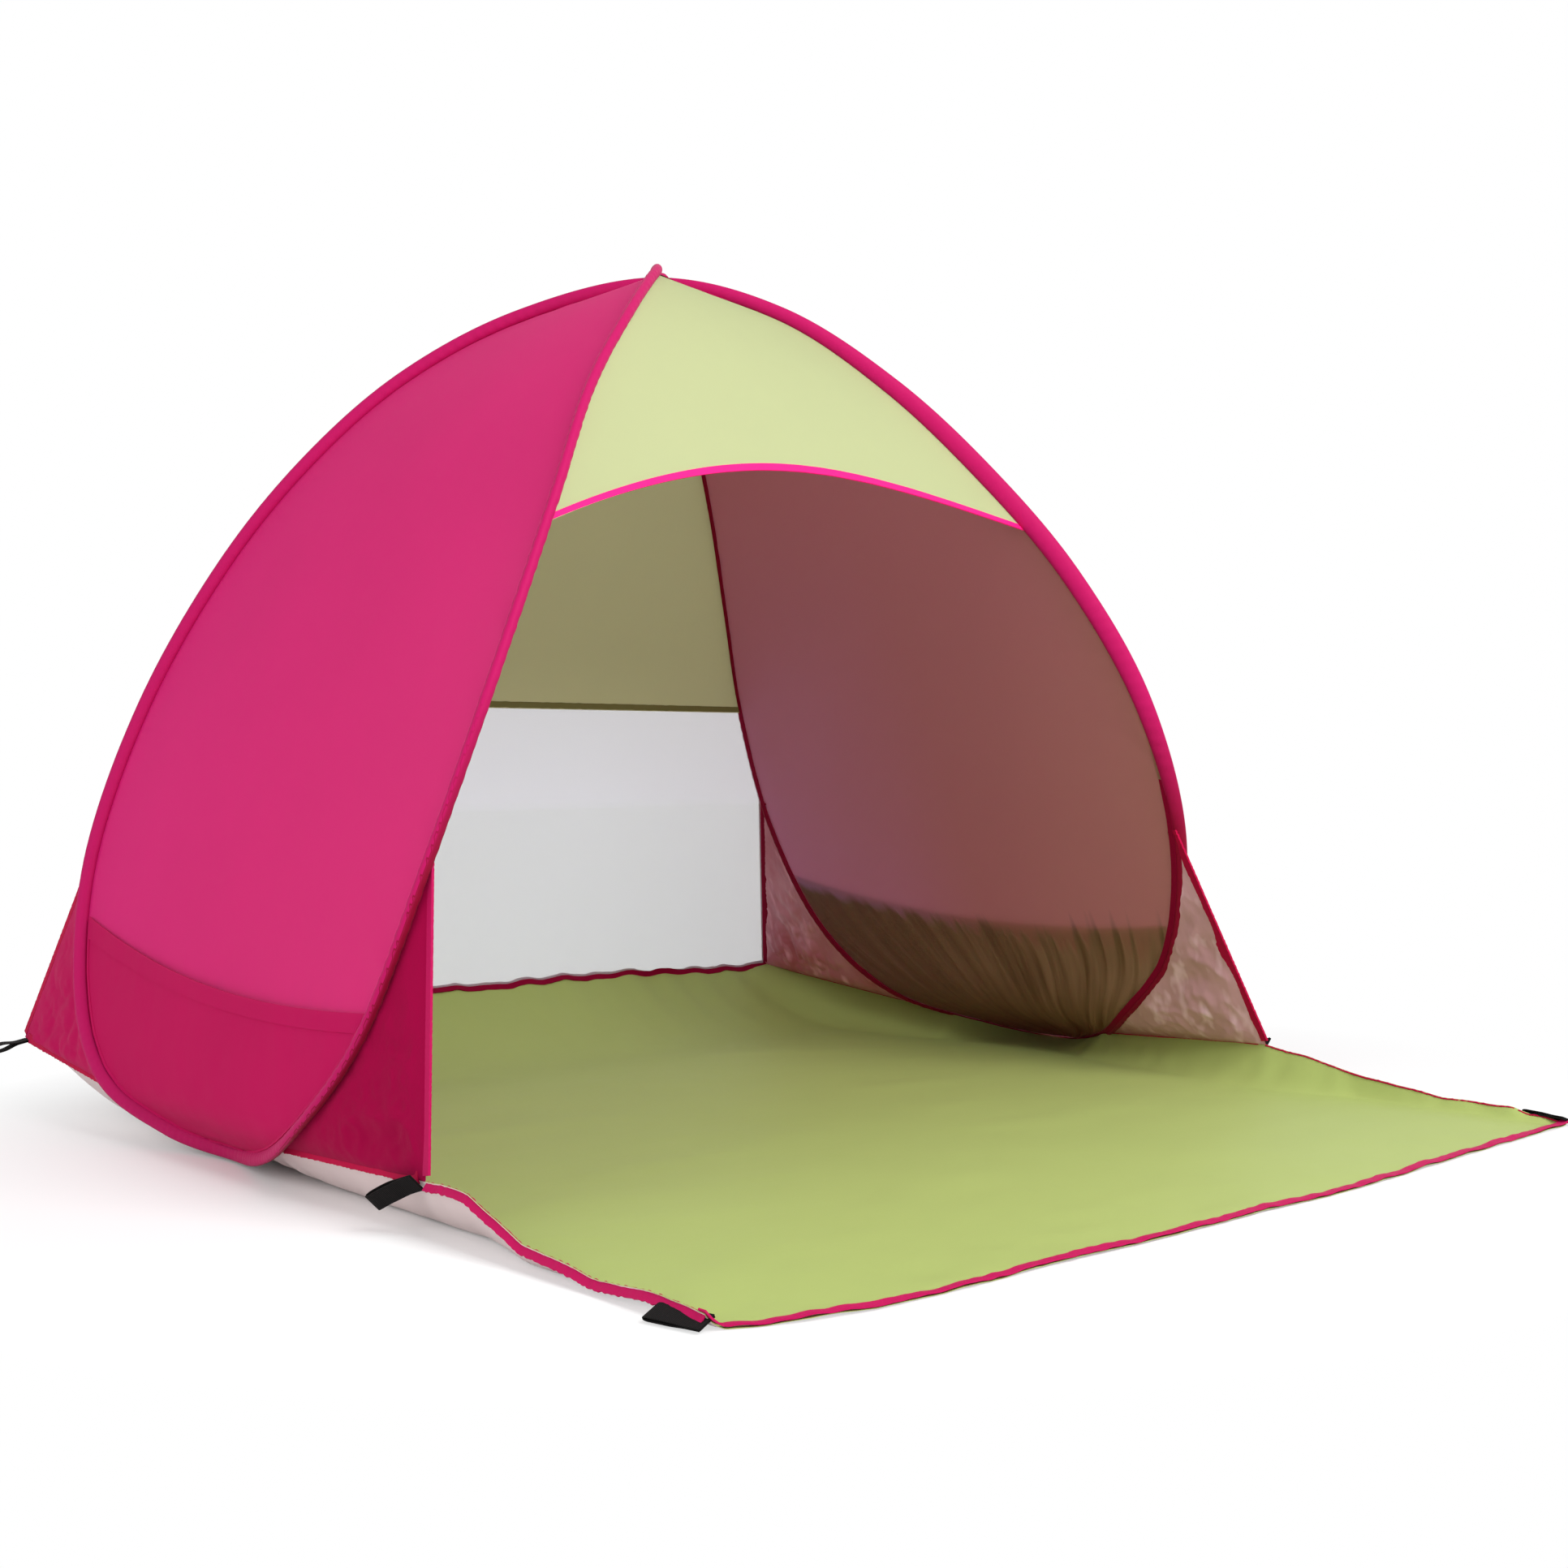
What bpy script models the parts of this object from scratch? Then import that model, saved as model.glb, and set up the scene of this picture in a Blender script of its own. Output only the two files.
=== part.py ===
"""Pop-up beach tent on one figure-of-eight spring wire, with a front mat that folds up.

Metres, +Z up. The origin is on the ground between the two feet of the wire. +X is the right of the
tent for someone looking in, +Y is its back. The front mat turns on the threshold line.
"""
import math

import bmesh
import bpy
from mathutils import Vector

# Whole tent
HEIGHT = 1.350
LEFT_REACH = 0.832
LEFT_HALF_DEPTH = 0.546
RIGHT_REACH = 0.956
RIGHT_HALF_DEPTH = 0.541
FLOOR_HALF_WIDTH = 0.800
FLOOR_FRONT_DEPTH = 0.605
FLOOR_BACK_DEPTH = 0.724
MAT_LENGTH = 0.544
MAT_BOW = 0.050
FRONT_CORNER_LIFT = 0.067
BACK_EDGE_LIFT = 0.112
FOOT_LIFT = 0.008

# Cloth, tape and clearances
CLOTH = 0.0020
GAP = 0.0004
TAPE_WIDTH = 0.012
SEAM_TAPE_WIDTH = 0.009
TAPE_THICKNESS = 0.0030
HEM_WIDTH = 0.011

# Spring wire, its ferrule and the sleeves it runs in
WIRE_DIAMETER = 0.0050
WIRE_CROSSING_RISE = 0.0029
WIRE_CROSSING_REACH = 0.090
FERRULE_WALL = 0.0007
FERRULE_HALF_LENGTH_SHARE = 0.985
SLEEVE_WIDTH = 0.024
SLEEVE_DEPTH = 0.0112
SLEEVE_WALL = 0.0016
SLEEVE_START = 0.034

# Tie and knot at the crossing
TIE_WIDTH = 0.016
TIE_THICKNESS = 0.0018
TIE_HALF_SPAN = 0.0175
KNOT_RADIUS = 0.012
KNOT_HEIGHT = 0.013

# Side pockets
LEFT_POCKET_CLEARANCE = 0.0007
RIGHT_POCKET_CLEARANCE = 0.0015
POCKET_INSET = 0.006
POCKET_HEM_WIDTH = 0.016

# Raised corners, threshold and the ears in front of it
FLOOR_EDGE_SPARE = 0.0060
FRONT_GUSSET_SPARE = 0.0010
BACK_GUSSET_SPARE = 0.0015
EDGE_FALL = 0.090
BACK_FALL = 0.330
EAR_LENGTH = 0.345
EAR_TIP_WIDTH = 0.008

# Webbing loops for the pegs
WEBBING_WIDTH = 0.025
WEBBING_THICKNESS = 0.0016
LOOP_LENGTH = 0.075
LOOP_EYE_HALF_HEIGHT = 0.0048
FRONT_LOOP_TUCK = 0.0030
LEFT_FRONT_LOOP_DROP = 0.0008
RIGHT_FRONT_LOOP_DROP = 0.0012
BACK_LOOP_TUCK = 0.0010

# Shares along one edge of a lobe, 0 at the crossing and 1 at the foot
STEPS = 24
GUSSET_TOP_SHARE = 0.595
GUSSET_FOOT_SHARE = 0.870
LEFT_HEADER_SHARE = 0.415
RIGHT_HEADER_SHARE = 0.360
HEADER_ARCH_SHARE = 0.130
HEM_SHARE = 0.503
CANOPY_START_SHARE = 0.045
POCKET_TOP_SHARE = 0.683
POCKET_CORNER_RISE_SHARE = 0.037
POCKET_LEVEL_SHARE = -0.3
KNOT_CUT_SHARE = 0.25
KNOT_DEPTH_SHARE = 0.8
LOOP_STITCH_SHARE = 0.22
LOOP_SPREAD_SHARE = 0.45

# Directions the slanted peg loops leave in, for the right side: out, back and up
FRONT_LOOP_LEAN = (0.15, 1.0, -0.42)
BACK_LOOP_LEAN = (1.0, 0.1, -0.2)

# Outline of each lobe as shares of its reach, its half depth and the height, from the crossing
# down to the foot
LEFT_LOBE_SHARES = (
    (0.000, 0.000, 1.000), (0.167, 0.361, 0.973), (0.340, 0.608, 0.901), (0.502, 0.767, 0.797),
    (0.643, 0.916, 0.668), (0.788, 1.000, 0.500), (0.909, 0.985, 0.317), (0.974, 0.850, 0.161),
    (1.000, 0.595, 0.062), (0.960, 0.293, 0.014), (0.925, 0.000, 0.000))
RIGHT_LOBE_SHARES = (
    (0.000, 0.000, 1.000), (0.157, 0.270, 0.959), (0.300, 0.503, 0.867), (0.425, 0.697, 0.753),
    (0.529, 0.863, 0.629), (0.622, 0.987, 0.479), (0.703, 1.000, 0.310), (0.768, 0.854, 0.156),
    (0.822, 0.579, 0.062), (0.940, 0.277, 0.016), (1.000, 0.000, 0.000))

LEFT = -1
RIGHT = 1
FRONT = -1
BACK = 1
SHEET_HALF_WIDTH = FLOOR_HALF_WIDTH - TAPE_WIDTH - GAP * 3
EAR_SPANS = 5
FLOOR_CORNER_PLACES = [2.0, 1.8, 1.55, 1.3]
EDGE_COLUMN_SHARES = (0.0, 0.2, 0.45, 0.7, 1.0)
INNER_COLUMN_SHARES = (0.32, 0.66)
MAT_BOW_SKEW_SHARE = 0.45
SIDE_NAMES = {LEFT: "left", RIGHT: "right"}
END_NAMES = {FRONT: "front", BACK: "back"}

PINK = (0.66, 0.03, 0.17)
DEEP_PINK = (0.45, 0.01, 0.08)
BINDING_PINK = (0.72, 0.05, 0.20)
LIME = (0.62, 0.70, 0.33)
PALE_LIME = (0.65, 0.73, 0.40)
OLIVE = (0.30, 0.30, 0.13)
MESH_GREY = (0.66, 0.66, 0.70)
BLACK = (0.03, 0.025, 0.025)
STEEL = (0.55, 0.56, 0.58)


def material(name, colour, roughness=0.7, metallic=0.0):
    """Return a plain Principled material."""
    made = bpy.data.materials.new(name)
    made.use_nodes = True
    shader = made.node_tree.nodes["Principled BSDF"]
    shader.inputs["Base Color"].default_value = (*colour, 1.0)
    shader.inputs["Roughness"].default_value = roughness
    shader.inputs["Metallic"].default_value = metallic
    return made


def add_object(name, mesh_data, finish, body=None):
    """Link one closed mesh as a named object, under the empty of the body it turns with."""
    bmesh.ops.recalc_face_normals(mesh_data, faces=mesh_data.faces)
    mesh = bpy.data.meshes.new(name)
    mesh_data.to_mesh(mesh)
    mesh_data.free()
    mesh.materials.append(finish)
    mesh.shade_smooth()
    mesh.set_sharp_from_angle(angle=math.radians(40))
    made = bpy.data.objects.new(name, mesh)
    bpy.context.scene.collection.objects.link(made)
    if body is not None:
        made.parent = body
        made.matrix_parent_inverse = body.matrix_world.inverted()
    return made


def spline_point(points, position):
    """Read a smooth curve through points that carry one guide point past each end."""
    last = len(points) - 4
    index = min(int(position), last)
    t = position - index
    before, start, end, after = points[index:index + 4]
    return 0.5 * (2 * start + (end - before) * t
                  + (2 * before - 5 * start + 4 * end - after) * t * t
                  + (3 * start - before - 3 * end + after) * t * t * t)


def lobe_points(side):
    """Outline points of a lobe's front-side half, as (out, along, up) from the crossing."""
    if side == LEFT:
        reach, half_depth, shares = LEFT_REACH, LEFT_HALF_DEPTH, LEFT_LOBE_SHARES
    else:
        reach, half_depth, shares = RIGHT_REACH, RIGHT_HALF_DEPTH, RIGHT_LOBE_SHARES
    rise = HEIGHT - FOOT_LIFT
    return [Vector((reach * out, half_depth * along, FOOT_LIFT + rise * up))
            for out, along, up in shares]


def guided_lobe(side):
    """A lobe's points with one from the other lobe before them and a mirrored one after."""
    points = lobe_points(side)
    over = lobe_points(-side)[1]
    past_crossing = Vector((-over.x, -over.y, over.z))
    past_foot = Vector((points[-2].x, -points[-2].y, points[-2].z))
    return [past_crossing] + points + [past_foot]


GUIDED = {side: guided_lobe(side) for side in (LEFT, RIGHT)}
SPANS = len(LEFT_LOBE_SHARES) - 1


def edge_point(side, end, share):
    """Centre of the wire on one edge of a lobe."""
    point = spline_point(GUIDED[side], share * SPANS)
    fade = max(0.0, 1.0 - Vector((point.x, point.y)).length / WIRE_CROSSING_REACH)
    lift = WIRE_CROSSING_RISE * fade * -side * end
    return Vector((side * point.x, end * point.y, point.z + lift))


def panel_normal(side, share):
    """Outward normal of the side panel, which is straight from front to back."""
    step = 0.4 / STEPS
    above = spline_point(GUIDED[side], max(share - step, 0.0) * SPANS)
    below = spline_point(GUIDED[side], min(share + step, 1.0) * SPANS)
    return Vector((side * (above.z - below.z), 0.0, below.x - above.x)).normalized()


class Station:
    """A place on a lobe's edge: its centre, the way into the panel and the panel's normal."""

    def __init__(self, side, end, share):
        step = 0.2 / STEPS
        self.centre = edge_point(side, end, share)
        self.normal = panel_normal(side, share)
        ahead = edge_point(side, end, min(share + step, 1.0))
        behind = edge_point(side, end, max(share - step, 0.0))
        along = (ahead - behind).normalized()
        self.inward = (along.cross(self.normal) * (side * end)).normalized()
        self.normal = (self.normal - along * self.normal.dot(along)).normalized()

    def exit_distance(self, direction, spare):
        """How far a sheet or tape that leaves in this direction starts from the wire's centre."""
        half_width = SLEEVE_WIDTH / 2 + GAP + spare
        half_depth = SLEEVE_DEPTH / 2 + GAP + spare
        across = direction.dot(self.inward) / half_width
        through = direction.dot(self.normal) / half_depth
        return 1.0 / math.hypot(across, through)

    def leave(self, direction, spare=CLOTH * 0.75):
        """First point of a sheet that leaves the sleeve in this direction; spare is its half size."""
        return self.centre + direction * self.exit_distance(direction, spare)

    def oval(self, half_width, half_depth, count):
        """Points of an oval section round the wire."""
        points = []
        for index in range(count):
            angle = 2 * math.pi * index / count
            points.append(self.centre + self.inward * (half_width * math.cos(angle))
                          + self.normal * (half_depth * math.sin(angle)))
        return points


def shares_between(first, last):
    """Shares from first to last that keep the common steps between them."""
    inner = [index / STEPS for index in range(STEPS + 1)]
    inner.append(FERRULE_HALF_LENGTH_SHARE)
    margin = 0.2 / STEPS
    kept = sorted(share for share in inner if first + margin < share < last - margin / 4)
    return [first] + kept + [last]


def start_share(distance):
    """Share at which an edge has run this far from the crossing."""
    first = edge_point(LEFT, FRONT, 1 / STEPS)
    return distance / (first - edge_point(LEFT, FRONT, 0.0)).length / STEPS


def ring_stations(side):
    """Stations of a lobe's sleeve from the crossing down the front, round and up the back."""
    shares = shares_between(start_share(SLEEVE_START), 1.0)
    front = [Station(side, FRONT, share) for share in shares]
    back = [Station(side, BACK, share) for share in reversed(shares[:-1])]
    return front + back


def bridge(mesh_data, first, second):
    """Join two rings of vertices with quads."""
    count = len(first)
    for index in range(count):
        after = (index + 1) % count
        mesh_data.faces.new((first[index], first[after], second[after], second[index]))


def solid_sweep(name, sections, finish, body=None):
    """A closed solid through a row of sections, with flat ends."""
    mesh_data = bmesh.new()
    rings = [[mesh_data.verts.new(point) for point in section] for section in sections]
    for first, second in zip(rings[:-1], rings[1:]):
        bridge(mesh_data, first, second)
    mesh_data.faces.new(rings[0])
    mesh_data.faces.new(rings[-1])
    return add_object(name, mesh_data, finish, body)


def hollow_sweep(name, outer_sections, inner_sections, finish):
    """A closed solid with a bore that is open at both ends."""
    mesh_data = bmesh.new()
    outer = [[mesh_data.verts.new(point) for point in section] for section in outer_sections]
    inner = [[mesh_data.verts.new(point) for point in section] for section in inner_sections]
    for rings in (outer, inner):
        for first, second in zip(rings[:-1], rings[1:]):
            bridge(mesh_data, first, second)
    bridge(mesh_data, outer[0], inner[0])
    bridge(mesh_data, outer[-1], inner[-1])
    return add_object(name, mesh_data, finish)


def thicken(made):
    """Give a sheet the cloth's thickness, half on each side."""
    solid = made.modifiers.new("cloth thickness", "SOLIDIFY")
    solid.thickness = CLOTH
    solid.offset = 0.0


def cloth_sheet(name, rows, finish, body=None):
    """A sheet through rows of points, given the cloth's thickness on both sides of them."""
    mesh_data = bmesh.new()
    grid = [[mesh_data.verts.new(point) for point in row] for row in rows]
    for upper, lower in zip(grid[:-1], grid[1:]):
        for index in range(len(upper) - 1):
            mesh_data.faces.new((upper[index], lower[index], lower[index + 1], upper[index + 1]))
    bmesh.ops.remove_doubles(mesh_data, verts=mesh_data.verts, dist=GAP / 4)
    made = add_object(name, mesh_data, finish, body)
    thicken(made)
    return made


def between(first, last, count):
    """Evenly spaced points from first to last."""
    return [first.lerp(last, index / count) for index in range(count + 1)]


def tape(name, path, across, width, thickness, finish, body=None):
    """A flat tape along a path; across gives the direction of its width at each point."""
    sections = []
    for index, point in enumerate(path):
        ahead = path[min(index + 1, len(path) - 1)]
        behind = path[max(index - 1, 0)]
        along = (ahead - behind).normalized()
        flat = across[index]
        flat = (flat - along * flat.dot(along)).normalized()
        up = along.cross(flat)
        half = flat * (width / 2)
        rise = up * (thickness / 2)
        sections.append([point - half - rise, point + half - rise,
                         point + half + rise, point - half + rise])
    return solid_sweep(name, sections, finish, body)


def round_section(station_centre, inward, normal, radius, count):
    """Points of a round section."""
    return [station_centre + inward * (radius * math.cos(2 * math.pi * index / count))
            + normal * (radius * math.sin(2 * math.pi * index / count))
            for index in range(count)]


def make_wire(finish):
    """One spring wire: up the left back, over to the right front, round, and back to the left."""
    down = [0.0] + shares_between(start_share(SLEEVE_START), 1.0)
    runs = [[(LEFT, BACK, share) for share in reversed(down)],
            [(RIGHT, FRONT, share) for share in down[1:]],
            [(RIGHT, BACK, share) for share in reversed(down[:-1])],
            [(LEFT, FRONT, share) for share in down[1:]]]
    places = [edge_point(*place) for run in runs for place in run]
    places[0].y += GAP / 2
    places[-1].y -= GAP / 2
    sections = []
    normal = Vector((0.0, 0.0, 1.0))
    for index, centre in enumerate(places):
        ahead = places[min(index + 1, len(places) - 1)]
        behind = places[max(index - 1, 0)]
        along = (ahead - behind).normalized()
        normal = (normal - along * normal.dot(along)).normalized()
        sections.append(round_section(centre, along.cross(normal), normal,
                                      WIRE_DIAMETER / 2, 6))
    solid_sweep("spring_wire", sections, finish)


def make_ferrule(finish):
    """The crimped tube that joins the two ends of the wire at the left foot."""
    stations = [Station(LEFT, FRONT, FERRULE_HALF_LENGTH_SHARE), Station(LEFT, FRONT, 1.0),
                Station(LEFT, BACK, FERRULE_HALF_LENGTH_SHARE)]
    bore = WIRE_DIAMETER / 2 + GAP * 1.2
    outer = [round_section(s.centre, s.inward, s.normal, bore + FERRULE_WALL, 10)
             for s in stations]
    inner = [round_section(s.centre, s.inward, s.normal, bore, 10) for s in stations]
    hollow_sweep("wire_ferrule", outer, inner, finish)


def make_sleeve(side, finish):
    """The cloth sleeve that holds the wire round one lobe."""
    stations = ring_stations(side)
    half_width = SLEEVE_WIDTH / 2
    half_depth = SLEEVE_DEPTH / 2
    outer = [s.oval(half_width, half_depth, 8) for s in stations]
    inner = [s.oval(half_width - SLEEVE_WALL, half_depth - SLEEVE_WALL, 8) for s in stations]
    hollow_sweep("sleeve_" + SIDE_NAMES[side], outer, inner, finish)


def make_apex_tie(tie_finish):
    """The tape wound round the crossing of the wire, and the knot on top of it."""
    half_rise = WIRE_CROSSING_RISE + WIRE_DIAMETER / 2 + GAP * 3
    count = 14
    outer = []
    inner = []
    for edge in (-TIE_WIDTH / 2, TIE_WIDTH / 2):
        rings = ([], [])
        for index in range(count):
            angle = 2 * math.pi * index / count
            for ring, wall in zip(rings, (TIE_THICKNESS, 0.0)):
                flat = abs(math.cos(angle)) ** 0.5 * math.copysign(1.0, math.cos(angle))
                rise = abs(math.sin(angle)) ** 0.5 * math.copysign(1.0, math.sin(angle))
                ring.append(Vector((edge, (TIE_HALF_SPAN + wall) * flat,
                                    HEIGHT + (half_rise + wall) * rise)))
        outer.append(rings[0])
        inner.append(rings[1])
    hollow_sweep("apex_tie", outer, inner, tie_finish)

    base = HEIGHT + half_rise + TIE_THICKNESS + GAP
    mesh_data = bmesh.new()
    bmesh.ops.create_uvsphere(mesh_data, u_segments=12, v_segments=10, radius=KNOT_RADIUS)
    whole = mesh_data.verts[:] + mesh_data.edges[:] + mesh_data.faces[:]
    bmesh.ops.bisect_plane(mesh_data, geom=whole, plane_no=(0.0, 0.0, 1.0), clear_inner=True,
                           plane_co=(0.0, 0.0, -KNOT_RADIUS * KNOT_CUT_SHARE))
    bmesh.ops.holes_fill(mesh_data, edges=mesh_data.edges[:], sides=0)
    low = min(vert.co.z for vert in mesh_data.verts)
    high = max(vert.co.z for vert in mesh_data.verts)
    for vert in mesh_data.verts:
        vert.co.z = base + (vert.co.z - low) / (high - low) * KNOT_HEIGHT
        vert.co.y *= KNOT_DEPTH_SHARE
    add_object("apex_knot", mesh_data, tie_finish)


def panel_edge(side, end, share, inset):
    """Edge of a side panel, a little way in from the sleeve."""
    station = Station(side, end, share)
    return station.centre + station.inward * (SLEEVE_WIDTH / 2 + GAP * 2 + inset)


def drawn_together(row):
    """The row's points all in its middle, where a sheet ends in a point."""
    return [row[0].lerp(row[-1], 0.5) for _ in row]


def make_side_panel(side, finish):
    """The big panel of one lobe, straight from its front edge to its back edge."""
    rows = []
    for share in shares_between(start_share(SLEEVE_START), 1.0):
        front = panel_edge(side, FRONT, share, 0.0)
        back = panel_edge(side, BACK, share, 0.0)
        if front.y < back.y - GAP or share == 1.0:
            rows.append(between(front, back, 6))
    rows[-1] = drawn_together(rows[-1])
    cloth_sheet("side_panel_" + SIDE_NAMES[side], rows, finish)


def pocket_top_share(along):
    """Share at which the pocket's mouth lies, which rises towards the back edge."""
    rise = max(0.0, (along - POCKET_LEVEL_SHARE) / (1 - POCKET_LEVEL_SHARE))
    return POCKET_TOP_SHARE - POCKET_CORNER_RISE_SHARE * rise * rise


def pocket_point(side, share, along, offset):
    """A point on the pocket's cloth, outside the panel."""
    front = panel_edge(side, FRONT, share, POCKET_INSET)
    back = panel_edge(side, BACK, share, POCKET_INSET)
    clearance = LEFT_POCKET_CLEARANCE if side == LEFT else RIGHT_POCKET_CLEARANCE
    lift = CLOTH + clearance + offset
    return front.lerp(back, (along + 1) / 2) + panel_normal(side, share) * lift


def make_pocket(side, finish, hem_finish):
    """The sand pocket on the lower part of a side panel, and the hem of its mouth."""
    columns = [index / 4 - 1 for index in range(9)]
    hem_drop = POCKET_HEM_WIDTH / HEIGHT
    rows = [[pocket_point(side, pocket_top_share(c) + hem_drop, c, 0.0) for c in columns]]
    for share in shares_between(POCKET_TOP_SHARE + hem_drop, 1.0)[1:]:
        rows.append([pocket_point(side, share, c, 0.0) for c in columns])
    rows[-1] = drawn_together(rows[-1])
    cloth_sheet("side_pocket_" + SIDE_NAMES[side], rows, finish)

    upper = [pocket_point(side, pocket_top_share(c), c, 0.0) for c in columns]
    path = pulled_back([upper, rows[0]], POCKET_HEM_WIDTH / 2 + GAP)
    across = [below - above for above, below in zip(upper, rows[0])]
    tape("pocket_hem_" + SIDE_NAMES[side], path, across, POCKET_HEM_WIDTH, CLOTH, hem_finish)


def canopy_row(end, left_share, right_share, count):
    """A straight row of cloth from the left lobe's edge to the right lobe's."""
    left = Station(LEFT, end, left_share)
    right = Station(RIGHT, end, right_share)
    direction = (right.centre - left.centre).normalized()
    return between(left.leave(direction), right.leave(-direction), count)


def header_drop(across):
    """Share by which the doorway's arch stands above its two ends."""
    return 1 - HEADER_ARCH_SHARE * 4 * across * (1 - across)


def pulled_back(rows, distance):
    """Points this far back from a sheet's last row, measured square to that row."""
    last = rows[-1]
    points = []
    for index, (above, below) in enumerate(zip(rows[-2], last)):
        ahead = last[min(index + 1, len(last) - 1)]
        behind = last[max(index - 1, 0)]
        towards = (above - below).normalized()
        sine = towards.cross((ahead - behind).normalized()).length
        points.append(below + towards * (distance / sine))
    return points


def make_front_canopy(finish, tape_finish):
    """The front panel above the doorway, and the tape round the doorway's arch."""
    columns = 12
    spans = 12
    first = CANOPY_START_SHARE / LEFT_HEADER_SHARE
    rows = []
    for index in range(spans + 1):
        row = []
        for column in range(columns + 1):
            across = column / columns
            reach = first + (header_drop(across) - first) * index / spans
            whole = canopy_row(FRONT, LEFT_HEADER_SHARE * reach, RIGHT_HEADER_SHARE * reach,
                               columns)
            row.append(whole[column])
        rows.append(row)
    path = pulled_back(rows, TAPE_WIDTH / 2)
    across = [below - above for above, below in zip(rows[-2], rows[-1])]
    rows[-1] = pulled_back(rows, TAPE_WIDTH + GAP * 2)
    cloth_sheet("front_canopy", rows, finish)
    path = trim_ends(path, TAPE_WIDTH / 2)
    tape("door_header_tape", path, across, TAPE_WIDTH, TAPE_THICKNESS, tape_finish)


def make_back_canopy(finish, hem_finish):
    """The back panel above the window, and the hem along its lower edge."""
    columns = 8
    shares = [CANOPY_START_SHARE + (HEM_SHARE - CANOPY_START_SHARE) * index / 12
              for index in range(13)]
    rows = [canopy_row(BACK, share, share, columns) for share in shares]
    path = pulled_back(rows, HEM_WIDTH / 2)
    across = [below - above for above, below in zip(rows[-2], rows[-1])]
    rows[-1] = pulled_back(rows, HEM_WIDTH + GAP * 2)
    cloth_sheet("back_canopy", rows, finish)
    path = trim_ends(path, TAPE_THICKNESS)
    tape("back_canopy_hem", path, across, HEM_WIDTH, TAPE_THICKNESS, hem_finish)


def corner(side, end):
    """A raised corner of the floor."""
    if end == FRONT:
        return Vector((side * FLOOR_HALF_WIDTH, -FLOOR_FRONT_DEPTH, FRONT_CORNER_LIFT))
    return Vector((side * FLOOR_HALF_WIDTH, FLOOR_BACK_DEPTH, BACK_EDGE_LIFT))


def make_rear_window(finish):
    """The sheer window from the back hem down to the floor's back edge."""
    columns = 8
    upper_shares = [HEM_SHARE + (GUSSET_TOP_SHARE - HEM_SHARE) * index / 3 for index in range(4)]
    rows = [canopy_row(BACK, share, share, columns) for share in upper_shares]
    tops = {side: edge_point(side, BACK, GUSSET_TOP_SHARE) for side in (LEFT, RIGHT)}
    sleeve_inset = (rows[-1][0] - tops[LEFT]).length
    tape_inset = SEAM_TAPE_WIDTH / 2 + GAP * 4
    spans = 8
    for index in range(1, spans + 1):
        down = index / spans
        inset = max(tape_inset, sleeve_inset * (1 - 3 * down) + tape_inset * 3 * down)
        left = tops[LEFT].lerp(corner(LEFT, BACK), down)
        right = tops[RIGHT].lerp(corner(RIGHT, BACK), down)
        direction = (right - left).normalized()
        rows.append(between(left + direction * inset, right - direction * inset, columns))
    start = [above + (below - above).normalized() * (GAP * 2)
             for above, below in zip(rows[0], rows[1])]
    rows[0] = start
    rows[-1] = pulled_back(rows, TAPE_THICKNESS / 2 + GAP * 3)
    cloth_sheet("rear_window", rows, finish)


def trim_ends(path, distance):
    """Shorten a path at both its ends."""
    first = path[0] + (path[1] - path[0]).normalized() * distance
    last = path[-1] + (path[-2] - path[-1]).normalized() * distance
    return [first] + path[1:-1] + [last]


def distance_from_line(point, start, direction):
    """How far a point lies from a line."""
    return (point - start).cross(direction).length


def make_gusset(side, end, finish, tape_finish):
    """The corner piece between a lobe and a raised floor corner, with the tapes on its edges."""
    name = END_NAMES[end] + "_" + SIDE_NAMES[side]
    tip = corner(side, end)
    top = edge_point(side, end, GUSSET_TOP_SHARE)
    foot = edge_point(side, end, GUSSET_FOOT_SHARE)
    to_top = (top - tip).normalized()
    to_foot = (foot - tip).normalized()
    opening = to_top.cross(to_foot).length
    top_inset = SEAM_TAPE_WIDTH / 2 + GAP * 2.5
    foot_inset = SEAM_TAPE_WIDTH / 2 + CLOTH / 2 + GAP * 2
    inner_tip = tip + (to_top * foot_inset + to_foot * top_inset) / opening
    fine = [GUSSET_TOP_SHARE + (GUSSET_FOOT_SHARE - GUSSET_TOP_SHARE) * index / 200
            for index in range(201)]
    clear = [share for share in fine
             if distance_from_line(edge_point(side, end, share), tip, to_top) > top_inset
             and distance_from_line(edge_point(side, end, share), tip, to_foot) > foot_inset]
    rows = []
    for index in range(9):
        share = clear[0] + (clear[-1] - clear[0]) * index / 8
        station = Station(side, end, share)
        direction = (inner_tip - station.centre).normalized()
        spare = FRONT_GUSSET_SPARE if end == FRONT else BACK_GUSSET_SPARE
        rows.append(between(station.leave(direction, spare), inner_tip, 5))
    cloth_sheet("gusset_" + name, rows, finish)

    normal = to_top.cross(to_foot).normalized()
    tip_clearance = SEAM_TAPE_WIDTH
    spare = SEAM_TAPE_WIDTH / 2
    upper_start = Station(side, end, GUSSET_TOP_SHARE).leave(-to_top, spare)
    upper = between(upper_start, tip + to_top * tip_clearance, 6)
    tape("gusset_tape_" + name, upper, [normal.cross(to_top)] * 7, SEAM_TAPE_WIDTH,
         TAPE_THICKNESS, tape_finish)
    lower_start = Station(side, end, GUSSET_FOOT_SHARE).leave(-to_foot, spare)
    lower = between(lower_start, tip + to_foot * tip_clearance * 3, 6)
    tape("floor_seam_" + name, lower, [normal.cross(to_foot)] * 7, SEAM_TAPE_WIDTH,
         TAPE_THICKNESS, tape_finish)


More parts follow.
